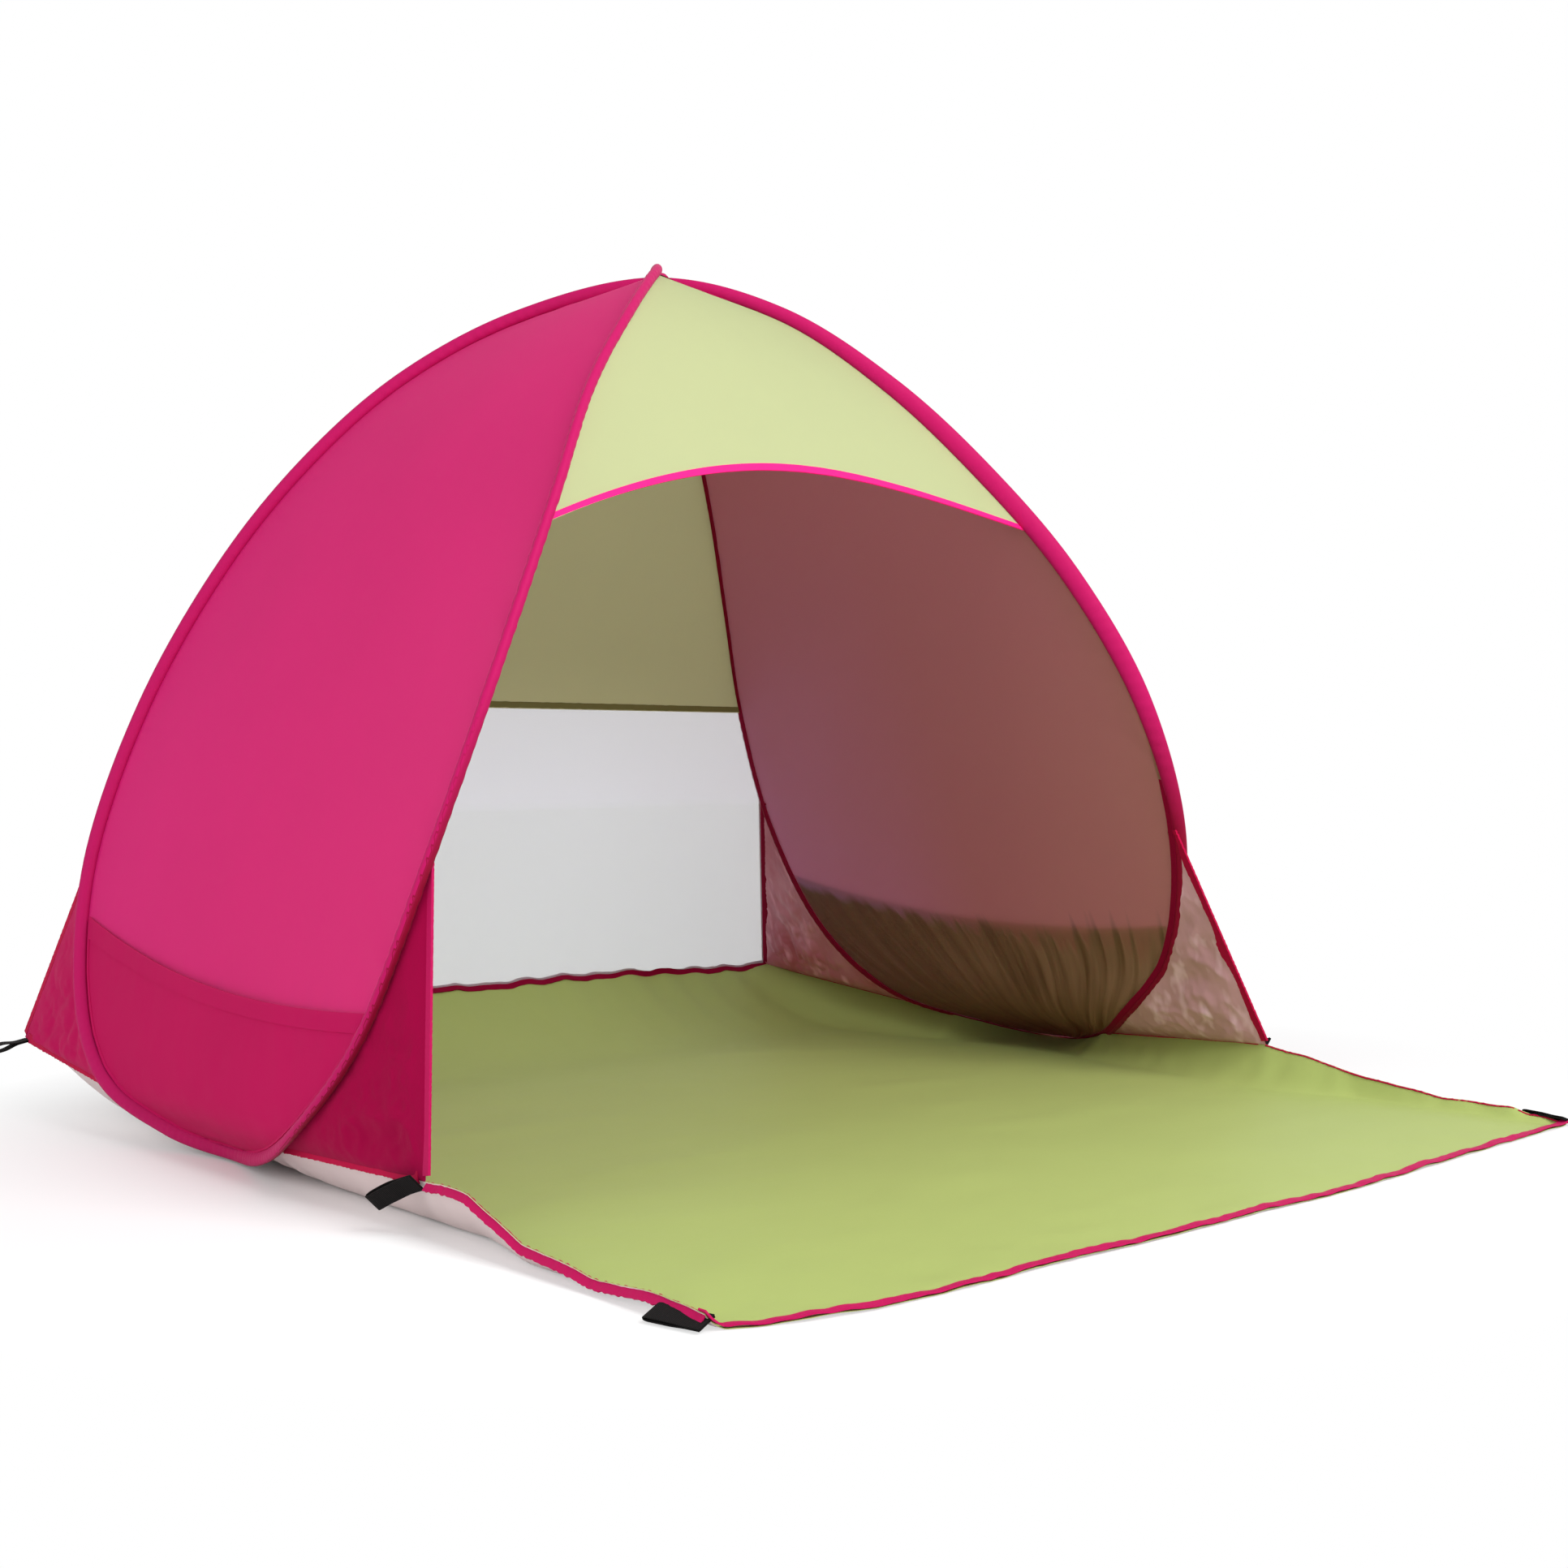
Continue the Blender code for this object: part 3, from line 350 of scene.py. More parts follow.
def coated_inside(name):
    """The coated inner face, with painted shade where the pocket covers its back."""
    made = Finish(name, SILVER_PINK, 0.5, gloss=0.3)
    across = made.attribute("share_across")
    share = made.attribute("share_down")
    side = across - 0.5
    mouth = 0.676 - side * 0.024 - side * side * 0.070
    slanted = made.node("ShaderNodeCombineXYZ", {}, {0: (across + share * STREAK_SLANT) * 34.0,
                                                     1: share * 5.0})
    streaks = ((made.noise(slanted, 1.0, 2.0) - 0.38) * 3.6).clamped()
    front = 1 - across
    reach = (streaks - 0.5) * (0.004 + front * front * 0.060)
    # Painted shade below the pocket's mouth, darker at the back, with painted light on its fold
    # streaks.
    covered = ((share - mouth - reach) * (140 - front * 105)).clamped()
    dark = made.mix((front * 1.25 - 0.08).clamped(), SHADE_AT_BACK, SHADE_AT_FRONT)
    dark = made.mix(streaks * (front * 0.85 + 0.04), dark, PAINTED_FOLD_LIGHT)
    cloudy = made.noise(made.place(), 3.0, 2.0)
    low = ((share - 0.25) * 2.2).clamped()
    plain = made.mix((across * 1.6 - 0.75).clamped() * low * (cloudy + 0.45), SILVER_PINK,
                     SILVER_MAUVE)
    plain = made.mix((front * 1.5 - 0.60).clamped() * low * (cloudy + 0.40), plain, SILVER_BROWN)
    made.paint("Base Color", made.mix(covered, plain, dark))
    folds = made.noise(made.place(), 22.0, 3.0)
    made.bump(folds * 0.4 + streaks * covered * 0.9, 0.004, 0.4)
    made.let_light_through(THROUGH_SHARE, SILVER_GLOW)
    return made


def crumpled_inside(name, dull, rose):
    """Gusset inside: coated, thin, crumpled, painted highlights on the ridges, pink at the hem."""
    made = Finish(name, dull, 0.40, gloss=0.3)
    cloudy = made.noise(made.place(), 9.0, 3.0)
    ridges = made.noise(made.place(1.0, 1.0, 0.45), 30.0, 2.0)
    cloth = made.mix(((cloudy - 0.38) * 3.2).clamped(), dull, rose)
    # Lighter colour on the ridge tops is a painted highlight.
    cloth = made.mix(((ridges - 0.54) * 4.0).clamped(), cloth, shade(rose, 1.8))
    hem = ((made.attribute("share_down") - 0.80) * 4.5 + (cloudy - 0.5)).clamped()
    made.paint("Base Color", made.mix(hem, cloth, GUSSET_HEM))
    made.bump(cloudy * 0.8 + ridges * 1.2, 0.004, 0.5)
    return made


front_silver = crumpled_inside("coated_front_gusset", (0.55, 0.29, 0.34), (0.70, 0.37, 0.48))
back_silver = crumpled_inside("coated_back_gusset", (0.54, 0.12, 0.20), (0.68, 0.24, 0.36))
coated = coated_inside("coated_side_panel")
print("coated finishes made")

# %% [markdown]
# The window is sheer grey cloth. Its holes are too fine to see, so a plain alpha does what a
# pattern of holes would do at this distance. The peg loops are black webbing, whose ribs are coarse
# enough to see. The wire is drawn steel, with the faint uneven gloss that drawing leaves.

# %% Window, webbing and steel
WINDOW_ALPHA = 0.34
RIB_SPACING = 0.0024

window = cloth_finish("sheer_window", WINDOW_GREY, 0.8, creases=0.25, mottle=0.01)
window.shader.inputs["Alpha"].default_value = WINDOW_ALPHA

webbing = Finish("webbing", WEBBING_BLACK, 0.9, gloss=0.15)
ribs = (webbing.attribute("metres_down") * (FULL_TURN / RIB_SPACING)).sine()
webbing.bump(ribs * 0.5 + 0.5, 0.0005, 0.8)

steel = Finish("spring_steel", (0.56, 0.57, 0.59), 0.32)
steel.shader.inputs["Metallic"].default_value = 1.0
drawn = steel.noise(steel.place(60.0, 60.0, 60.0), 8.0)
steel.paint("Roughness", drawn * 0.2 + 0.25)
for node in ("spring_wire", "wire_ferrule"):
    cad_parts[node].data.materials.clear()
    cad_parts[node].data.materials.append(steel.material)
print("window, webbing and steel made")

# %% [markdown]
# Both loops of the wire are written as a table: at each step from the crossing to the foot, how far
# out, how far along and how high the wire is. A smooth curve runs through the steps. The two loops
# aren't alike, because a tent like this never stands quite evenly. The tables are written out here,
# and not read from the solid wire, because every seam needs the curve and its directions.

# %% The two loops of wire
LEFT, RIGHT, FRONT, BACK = -1, 1, -1, 1
SIDES = {LEFT: "left", RIGHT: "right"}
ENDS = {FRONT: "front", BACK: "back"}
HEIGHT = 1.350
FOOT_LIFT = 0.008
REACH = {LEFT: 0.832, RIGHT: 0.956}
HALF_DEPTH = {LEFT: 0.546, RIGHT: 0.541}
LOOP_STEPS = {
    LEFT: ((0.000, 0.000, 1.000), (0.167, 0.361, 0.973), (0.340, 0.608, 0.901),
           (0.502, 0.767, 0.797), (0.643, 0.916, 0.668), (0.788, 1.000, 0.500),
           (0.909, 0.985, 0.317), (0.974, 0.850, 0.161), (1.000, 0.595, 0.062),
           (0.960, 0.293, 0.014), (0.925, 0.000, 0.000)),
    RIGHT: ((0.000, 0.000, 1.000), (0.157, 0.270, 0.959), (0.300, 0.503, 0.867),
            (0.425, 0.697, 0.753), (0.529, 0.863, 0.629), (0.622, 0.987, 0.479),
            (0.703, 1.000, 0.310), (0.768, 0.854, 0.156), (0.822, 0.579, 0.062),
            (0.940, 0.277, 0.016), (1.000, 0.000, 0.000))}


def loop_points(side):
    """The loop's steps in metres, with one more point past each end to guide the curve."""
    def metres(which, step):
        out, along, high = LOOP_STEPS[which][step]
        return Vector((REACH[which] * out, HALF_DEPTH[which] * along,
                       FOOT_LIFT + (HEIGHT - FOOT_LIFT) * high))
    points = [metres(side, step) for step in range(len(LOOP_STEPS[side]))]
    over = metres(-side, 1)
    return ([Vector((-over.x, -over.y, over.z))] + points
            + [Vector((points[-2].x, -points[-2].y, points[-2].z))])


LOOP = {side: loop_points(side) for side in SIDES}
WIRE_STEP = 0.008
PANEL_STEP = 0.017


def blend_between(low, high, value):
    """0 below the first number, 1 above the second, and a smooth climb between them."""
    t = min(max((value - low) / (high - low), 0.0), 1.0)
    return t * t * (3 - 2 * t)


def wire(side, end, share):
    """The wire's centre, from share 0 at the crossing to share 1 at the foot."""
    steps = len(LOOP_STEPS[side]) - 1
    place = min(max(share, 0.0), 1.0) * steps
    index = min(int(place), steps - 1)
    t = place - index
    a, b, c, d = LOOP[side][index:index + 4]
    point = 0.5 * (2 * b + (c - a) * t + (2 * a - 5 * b + 4 * c - d) * t * t
                   + (3 * b - a - 3 * c + d) * t * t * t)
    return Vector((side * point.x, end * point.y, point.z))


def along_wire(side, end, share):
    """The direction in which the wire runs down."""
    return (wire(side, end, min(share + WIRE_STEP, 1.0))
            - wire(side, end, max(share - WIRE_STEP, 0.0))).normalized()


def outward(side, share):
    """The direction that the side panel faces."""
    above_it = wire(side, BACK, max(share - PANEL_STEP, 0.0))
    below_it = wire(side, BACK, min(share + PANEL_STEP, 1.0))
    return Vector((side * (above_it.z - below_it.z), 0.0,
                   side * (below_it.x - above_it.x))).normalized()


def station(side, end, share):
    """The wire's centre, the way into the side panel, and the panel's outward direction."""
    along = along_wire(side, end, share)
    out = outward(side, share)
    inward = (along.cross(out) * (side * end)).normalized()
    return wire(side, end, share), inward, (out - along * out.dot(along)).normalized()


print("feet of the loops", wire(LEFT, FRONT, 1.0), wire(RIGHT, FRONT, 1.0))

# %% [markdown]
# The wire pushes outwards, so its sleeve is pulled tight like a fin, with the wire at the outer rim
# and the seam at the inner one. The two panels that meet there pull on the seam from both sides,
# and the fin settles halfway between their directions. All the panels start at that seam.

# %% The seam below the wire
SEAM_DROP = 0.018
LEFT_FRONT_SEAM_DROP = 0.013
WIDE_SEAM_DROP = 0.027
FOOT_SEAM_DROP = 0.008
SEAM_SAG = 0.12


def seam_drop(side, end, share):
    """How far below the wire the seam lies. The right front sleeve is wide, and its foot narrow."""
    if side == LEFT:
        narrow = blend_between(0.70, 0.95, share) if end == FRONT else 1.0
        return LEFT_FRONT_SEAM_DROP + (SEAM_DROP - LEFT_FRONT_SEAM_DROP) * narrow
    upper = SEAM_DROP
    if end == FRONT:
        upper += (WIDE_SEAM_DROP - SEAM_DROP) * blend_between(0.05, 0.30, share)
    return upper + (FOOT_SEAM_DROP - upper) * blend_between(0.45, 0.75, share)


def fin_way(side, end, share):
    """The direction from the wire to the seam, halfway between the two panels."""
    along = along_wire(side, end, share)
    inward = station(side, end, share)[1]
    across = Vector((-side, 0.0, 0.0))
    across = (across - along * along.dot(across)).normalized()
    way = inward + across + Vector((0.0, 0.0, -SEAM_SAG))
    return (way - along * along.dot(way)).normalized()


def seam(side, end, share):
    """The seam where the sleeve and the panels are sewn together."""
    return wire(side, end, share) + fin_way(side, end, share) * seam_drop(side, end, share)


print("apex", wire(LEFT, FRONT, 0.0), "left seam at the middle", seam(LEFT, FRONT, 0.5))

# %% [markdown]
# All the cloth is made by one helper. It adds a flat grid, moves each point to where the cloth goes,
# stores the metres across and down for the weave, and gives the sheet its thickness with Solidify.
# The two faces can have different finishes, because tent cloth is coated on one side.

# %% Cloth helper
CLOTH = 0.0008


def sheet_of_cloth(name, place, across, down, size, outside, inside=None, thickness=CLOTH):
    """A sheet whose point at (u, v), each from 0 to 1, lies at place(u, v)."""
    bpy.ops.mesh.primitive_grid_add(x_subdivisions=across, y_subdivisions=down, size=1.0)
    made = bpy.context.object
    made.name = made.data.name = name
    corners = [(vertex.co.x + 0.5, vertex.co.y + 0.5) for vertex in made.data.vertices]
    for label, index, length in (("metres_across", 0, size[0]), ("metres_down", 1, size[1]),
                                 ("share_across", 0, 1.0), ("share_down", 1, 1.0)):
        stored = made.data.attributes.new(label, "FLOAT", "POINT")
        stored.data.foreach_set("value", [corner[index] * length for corner in corners])
    for vertex, (u, v) in zip(made.data.vertices, corners):
        vertex.co = place(u, v)
    made.data.materials.append(outside.material)
    made.data.materials.append((inside or outside).material)
    bpy.ops.object.mode_set(mode="EDIT")
    bpy.ops.mesh.select_all(action="SELECT")
    bpy.ops.mesh.remove_doubles(threshold=0.0001)
    bpy.ops.object.mode_set(mode="OBJECT")
    wall = made.modifiers.new("thickness", "SOLIDIFY")
    wall.thickness = thickness
    wall.offset = 0.0
    wall.material_offset = 1
    bpy.ops.object.modifier_apply(modifier=wall.name)
    bpy.ops.object.shade_smooth_by_angle(angle=math.radians(50))
    made.select_set(False)
    return made


def smooth_noise(x, y, z):
    """A smooth random number from -1 to 1, which is the same each time for the same place."""
    return noise.noise(Vector((x, y, z)))


def ripple(point, scale, seed=0.0):
    """The same for a place on the tent."""
    return smooth_noise(point.x * scale + seed, point.y * scale - seed, point.z * scale)


def read_table(table, value):
    """Read a two-column table, straight between its rows."""
    if value <= table[0][0]:
        return table[0][1]
    for (x0, y0), (x1, y1) in zip(table[:-1], table[1:]):
        if value <= x1:
            return y0 + (y1 - y0) * (value - x0) / (x1 - x0)
    return table[-1][1]


def cut_size(place, fullness=1.0):
    """The width, length and area that a sheet is cut to, measured along the modelled cloth."""
    steps = 40
    rows = [[place(i / steps, j / steps) for i in range(steps + 1)] for j in range(steps + 1)]

    def longest(lines):
        return max(sum((b - a).length for a, b in zip(line, line[1:])) for line in lines)
    area = sum((c - a).cross(d - b).length / 2 for upper, lower in zip(rows, rows[1:])
               for a, b, c, d in zip(upper, upper[1:], lower[1:], lower))
    size = (round(longest(rows) * fullness, 3), round(longest(zip(*rows)) * fullness, 3))
    return size, round(min(area * fullness ** 2, size[0] * size[1]), 3)


def finish_piece(made, slot, nodes=(), flat=None, held="stretched", rests_on=("spring_wire",),
                 area=None, body="tent"):
    """Fix a piece to its body, hide its solids and print a cloth's cut size. The slot is not used."""
    if body:
        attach(made, body)
    if nodes:
        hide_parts(*nodes)
    if flat:
        list(rests_on)
        print("cut to", flat, "area", area)
    print(made.name, len(made.data.polygons), "faces")
    return made


def cut_and_fit(name, place, across, down, faces, slot, nodes):
    """The result is its flat size."""
    flat, area = cut_size(place)
    made = sheet_of_cloth(name, place, across, down, flat, *faces)
    finish_piece(made, slot, nodes, flat=flat, area=area)
    return flat


# %% [markdown]
# The wire runs in a sleeve, a strip of pink cloth folded round it and sewn along its inner rim. The
# stitching gathers it, so slanting puckers run round it. A bevelled curve would be round like a hose.
# So it is one grid that goes along the loop and round a flat section, and closes on itself.

# %% Sleeves
WIRE_COVER = 0.0036
SLEEVE_HALF_DEPTH = 0.0066
SLEEVE_FOOT_DEPTH = 0.0060
SLEEVE_FIRST_SHARE = 0.004
PUCKER_SPACING = 0.019


def sleeve_place(side, length):
    """Where a point of the sleeve goes: u round its section, v along the whole loop."""
    def place(u, v):
        run = 1 - abs(2 * v - 1)
        end = FRONT if v <= 0.5 else BACK
        share = SLEEVE_FIRST_SHARE + (1 - SLEEVE_FIRST_SHARE) * run
        way = fin_way(side, end, share)
        beside = along_wire(side, end, share).cross(way).normalized() * (side * end)
        half_width = (seam_drop(side, end, share) + WIRE_COVER) / 2
        centre = wire(side, end, share) + way * (half_width - WIRE_COVER)
        angle = FULL_TURN * u
        slant = FULL_TURN * v * length / PUCKER_SPACING + angle
        strength = 0.04 + 0.10 * max(0.0, ripple(centre, 6.0, side + 4.0))
        pucker = 1 + strength * math.sin(slant) + 0.08 * ripple(centre, 60.0, side)
        depth = SLEEVE_HALF_DEPTH + (SLEEVE_FOOT_DEPTH - SLEEVE_HALF_DEPTH) * blend_between(
            0.72, 0.90, share)
        return (centre - way * (half_width * math.cos(angle))
                + beside * (depth * math.sin(angle) * pucker))
    return place


for side, name in SIDES.items():
    length = 2 * sum((wire(side, FRONT, (i + 1) / 60) - wire(side, FRONT, i / 60)).length
                     for i in range(60))
    girth = FULL_TURN / 2 * ((SEAM_DROP + WIRE_COVER) / 2 + SLEEVE_HALF_DEPTH)
    sleeve = sheet_of_cloth("wire_sleeve_" + name, sleeve_place(side, length), 18, 900,
                            (girth, length), sleeve_pink)
    finish_piece(sleeve, "sleeve_polyester", ["sleeve_" + name], flat=(girth, length))

# %% [markdown]
# A side panel is straight from front to back at each height, like a sheet of paper bent one way. It
# is sewn to the sleeve at both edges, and the gathered seam throws short creases into its border. A
# cloth simulation could find this shape, but the shape of tight cloth follows from its edges, so a
# formula is enough, and smooth noise adds the creases.

# %% Side panels
PANEL_FIRST_SHARE = 0.022


def panel_point(side, share, u, lift=0.0):
    """A point of the side panel, with u from its front edge to its back edge."""
    first, last = seam(side, FRONT, share), seam(side, BACK, share)
    if first.y > last.y:
        first = last = (first + last) / 2
    return first.lerp(last, u) + outward(side, share) * lift


def panel_creases(side, share, u):
    """Height of the creases that the seams throw into the panel, and of its slack folds."""
    width = abs((wire(side, BACK, share) - wire(side, FRONT, share)).y)
    from_edge = min(u, 1 - u) * width
    run = share * 2.1
    slanted = smooth_noise(run * 24.0 + from_edge * 14.0, from_edge * 6.0, 9.0 * side + (u > 0.5))
    patches = max(0.0, smooth_noise(run * 3.4, 2.0 + (u > 0.5), side)) * 2.2
    strength = math.exp(-from_edge / 0.060) * blend_between(0.0, 0.010, from_edge)
    creases = 0.0040 * strength * (0.30 + patches) * slanted
    slack = blend_between(0.0, 0.05, from_edge) * blend_between(0.60, 0.74, share - 0.10 * (1 - u))
    folds = 0.0034 * slack * smooth_noise((u + share * STREAK_SLANT) * 24.0, share * 3.0, side)
    return creases + folds * (1.15 - u)


def panel_place(side):
    def place(u, v):
        share = PANEL_FIRST_SHARE + (1 - PANEL_FIRST_SHARE) * v
        return panel_point(side, share, u, panel_creases(side, share, u))
    return place


for side, name in SIDES.items():
    faces = (pink, coated) if side == LEFT else (coated, pink)
    cut_and_fit("side_cloth_" + name, panel_place(side), 150, 260, faces, "pink_polyester",
                ["side_panel_" + name])

# %% [markdown]
# Each side panel has a sand pocket on its outside. Its mouth is a shallow curve with a folded hem,
# and its lower edge is stitched to the panel a few centimetres in from the sleeve. The pocket is a
# sheet of its own, just outside the panel, that ends along that stitched curve.

# %% Side pockets
POCKET_FRONT = ((0.672, -0.478), (0.694, -0.458), (0.755, -0.378), (0.813, -0.306),
                (0.860, -0.238), (0.915, -0.159), (0.955, -0.090))
POCKET_BACK = ((0.650, 0.512), (0.668, 0.502), (0.716, 0.447), (0.755, 0.405), (0.822, 0.326),
               (0.883, 0.223), (0.933, 0.126), (0.955, 0.060))
POCKET_FRONT_START, POCKET_BACK_START = -0.478, 0.492
POCKET_END_SHARE = 0.955
POCKET_OFFSET = {LEFT: 0.0022, RIGHT: 0.0030}
STITCH_MARGIN = 0.013
STITCH_DOWN, STITCH_BOTTOM, STITCH_UP = 0.42, 0.16, 0.58
HEM_BAND = (-0.004, 0.050)
HEM_WIDTH = 0.016


def mouth_share(side, y):
    """Share down the wire at which the pocket's mouth lies."""
    if side == LEFT:
        return 0.6868 - 0.0358 * y - 0.0773 * y * y
    return 0.6814 - 0.0253 * y - 0.0779 * y * y


def stitched_at(side, share):
    """Where the pocket's stitching is at the front and at the back, always inside the seam."""
    limit = max(0.0, abs(seam(side, BACK, share).y) - STITCH_MARGIN)
    return (max(read_table(POCKET_FRONT, share), -limit),
            min(read_table(POCKET_BACK, share), limit))


def pocket_place(side, first=0.0, last=1.0, lift=0.0):
    """Where the pocket's cloth goes, or one band of it from the first to the last part."""
    def place(u, v):
        down = first + (last - first) * v
        y_start = POCKET_FRONT_START + (POCKET_BACK_START - POCKET_FRONT_START) * u
        start = mouth_share(side, y_start)
        share = start + (POCKET_END_SHARE - start) * down
        y_front, y_back = stitched_at(side, share)
        y = y_front + (y_back - y_front) * u
        depth = abs(seam(side, BACK, share).y)
        across = (y + depth) / (2 * depth)
        middle = math.sin(math.pi * u)
        slack = 0.0012 * middle * math.sin(math.pi * min(down * 1.4, 1.0))
        lip = 0.0050 * middle * math.exp(-max(down, 0.0) / 0.055)
        gathers = 0.0020 * (math.exp(-u / 0.10) + math.exp((u - 1) / 0.10))
        gathers *= math.exp(-max(down, 0.0) / 0.12) * smooth_noise(u * 90.0, down * 5.0, 3.0)
        folds = 0.0010 * ripple(Vector((0, y, share)), 26.0, 2.0)
        return panel_point(side, share, across,
                           POCKET_OFFSET[side] + slack + lip + abs(gathers) + folds + lift)
    return place


def stitch_path(side):
    """The stitched curve from the mouth's front end, down round the pocket, to its back end."""
    place = pocket_place(side, lift=0.0006)

    def path(t):
        if t < STITCH_DOWN:
            return place(0.0, t / STITCH_DOWN)
        if t > STITCH_UP:
            return place(1.0, (1 - t) / STITCH_DOWN)
        return place((t - STITCH_DOWN) / STITCH_BOTTOM, 1.0)
    return path


for side, name in SIDES.items():
    flat = cut_and_fit("sand_pocket_" + name, pocket_place(side), 110, 80, (pocket_pink,),
                       "pink_polyester", ["side_pocket_" + name])
    hem = sheet_of_cloth("pocket_mouth_" + name, pocket_place(side, *HEM_BAND, 0.0010), 110, 5,
                         (flat[0], HEM_WIDTH), pocket_pink, thickness=0.0018)
    finish_piece(hem, "binding_polyester", ["pocket_hem_" + name])

# %% [markdown]
# Two lime panels bridge the loops at the top, one above the doorway and one at the back. They run
# straight across from one wire to the other. The front one ends in an arch bound with pink tape, and
# the back one in a narrow olive hem, whose thread gathers the cloth just above it. Both are coated
# inside, which dulls the lime. The front grid faces inwards, so it takes its two finishes swapped.

# %% Lime panels
FRONT_END_SHARES = (0.412, 0.347)
ARCH_SHARE = 0.130
HEM_SHARES = {LEFT: 0.501, RIGHT: 0.497}
TOP_SHARE = 0.030


def bridge_point(end, left_share, right_share, u):
    """A point on the straight line from the left wire to the right wire."""
    left, right_point = seam(LEFT, end, left_share), seam(RIGHT, end, right_share)
    return left.lerp(right_point, u)


def arch(u):
    """Share of the way down to the arch's ends that the doorway's edge lies."""
    return 1 - ARCH_SHARE * 4 * u * (1 - u)


def front_place(u, v):
    first = TOP_SHARE / FRONT_END_SHARES[0]
    down = first + (arch(u) - first) * v
    point = bridge_point(FRONT, FRONT_END_SHARES[0] * down, FRONT_END_SHARES[1] * down, u)
    return point + Vector((0, -0.0008, 0)) * ripple(point, 30.0, 5.0) * math.sin(math.pi * u)


def gathers(point, v):
    """Small upright gathers that fade away above the hem."""
    return 0.0016 * math.exp((v - 1) / 0.10) * smooth_noise(point.x * 75.0, 4.0, v * 3.0)


def back_place(u, v):
    left_share, right_share = (TOP_SHARE + (HEM_SHARES[side] - TOP_SHARE) * v
                               for side in (LEFT, RIGHT))
    point = bridge_point(BACK, left_share, right_share, u)
    return point + Vector((0, gathers(point, v), 0))


cut_and_fit("front_lime_panel", front_place, 80, 60, (back_lime, front_lime),
            "pale_lime_polyester", ["front_canopy"])
cut_and_fit("back_lime_panel", back_place, 120, 80, (front_lime, back_lime), "lime_cloth",
            ["back_canopy"])

# %% [markdown]
# Tapes are sheets too, only narrow and thicker. A tape follows a path and takes its width from a
# direction at each point, so the same helper binds the arch, the hem, the gussets and the floor.

# %% Tape helper
def tape_along(name, path, across, width, finish, steps=120, thickness=0.0020, pucker=0.0,
               inside=None):
    """A flat tape; path(t) is its middle and across(t) the direction of its width."""
    def place(u, v):
        middle, side = path(v), Vector(across(v)).normalized()
        wobble = pucker * smooth_noise(v * 90.0, 0.0, 9.0)
        lift = Vector((0, 0, pucker * 0.8 * smooth_noise(v * 70.0, 5.0, 1.0)))
        return middle + side * (width * (u - 0.5) + wobble) + lift
    length = sum((path((i + 1) / 40) - path(i / 40)).length for i in range(40))
    return sheet_of_cloth(name, place, 4, steps, (width, length), finish, inside, thickness)


arch_tape = tape_along("doorway_arch_tape", lambda t: front_place(t, 0.992),
                       lambda t: front_place(t, 1.0) - front_place(t, 0.97), 0.0125, binding)
finish_piece(arch_tape, "binding_polyester", ["door_header_tape"])
hem_tape = tape_along("back_hem", lambda t: back_place(t, 0.993),
                      lambda t: back_place(t, 1.0) - back_place(t, 0.97), 0.011, olive,
                      pucker=0.0006)
finish_piece(hem_tape, "olive_hem", ["back_canopy_hem"])

# %% [markdown]
# Inside the tent the raw edges of the seams are covered with a dark red tape, which shows as a line
# round the side panel until it runs into the front sleeve. Outside, the pocket is sewn on with a
# narrow folded seam, and a thin piping edges the panel's front. All of these are tapes too.

# %% Tapes along the side panels
SEAM_TAPE_WIDTH = 0.010
SEAM_TAPE_START, SEAM_TAPE_END = 0.03, 0.46
PIPING_START, PIPING_LENGTH = 0.04, 0.93


def seam_place(run):
    """End and share along the loop, from the top of the back seam round to the front seam."""
    share = SEAM_TAPE_START + run * (2 - SEAM_TAPE_START - SEAM_TAPE_END)
    return (BACK, share) if share <= 1 else (FRONT, 2 - share)


def seam_tape_path(side):
    def path(t):
        end, share = seam_place(t)
        into_panel = station(side, end, share)[1]
        on_seam = seam(side, end, share) + into_panel * 0.003 - outward(side, share) * 0.0022
        in_sleeve = wire(side, end, share).lerp(seam(side, end, share), 0.55)
        return on_seam.lerp(in_sleeve, blend_between(0.90, 1.0, t))
    return path


def piping_path(side):
    def path(t):
        share = PIPING_START + PIPING_LENGTH * t
        return seam(side, FRONT, share) + outward(side, share) * 0.0024
    return path


for side, name in SIDES.items():
    inner = tape_along("inner_seam_" + name, seam_tape_path(side),
                       lambda t: station(side, *seam_place(t))[1], SEAM_TAPE_WIDTH,
                       seam_red, steps=320, thickness=0.0016, pucker=0.0008)
    finish_piece(inner, "binding_polyester")
    piping = tape_along("panel_piping_" + name, piping_path(side),
                        lambda t: station(side, FRONT, PIPING_START + PIPING_LENGTH * t)[1],
                        0.0032, binding, steps=320, thickness=0.0026)
    finish_piece(piping, "binding_polyester")
    stitched = stitch_path(side)
    sewn = tape_along("pocket_seam_" + name, stitched,
                      lambda t: (stitched(min(t + 0.005, 1.0)) - stitched(max(t - 0.005, 0.0))).cross(
                          Vector((side, 0, 0.4))), 0.005, pocket_pink, steps=260,
                      thickness=0.0022, pucker=0.0006)
    finish_piece(sewn, "pink_polyester")

# %% [markdown]
# The groundsheet and the mat in front are one cloth, and its edges hang at many heights. The back
# edge hangs about a hand's width off the ground, and the gussets hold the front corners up. In front
# the bound edges come down slowly, and stay just off the ground along the mat. So the edges come
# first, as short tables of heights, with small waves added where the cloth hangs free.

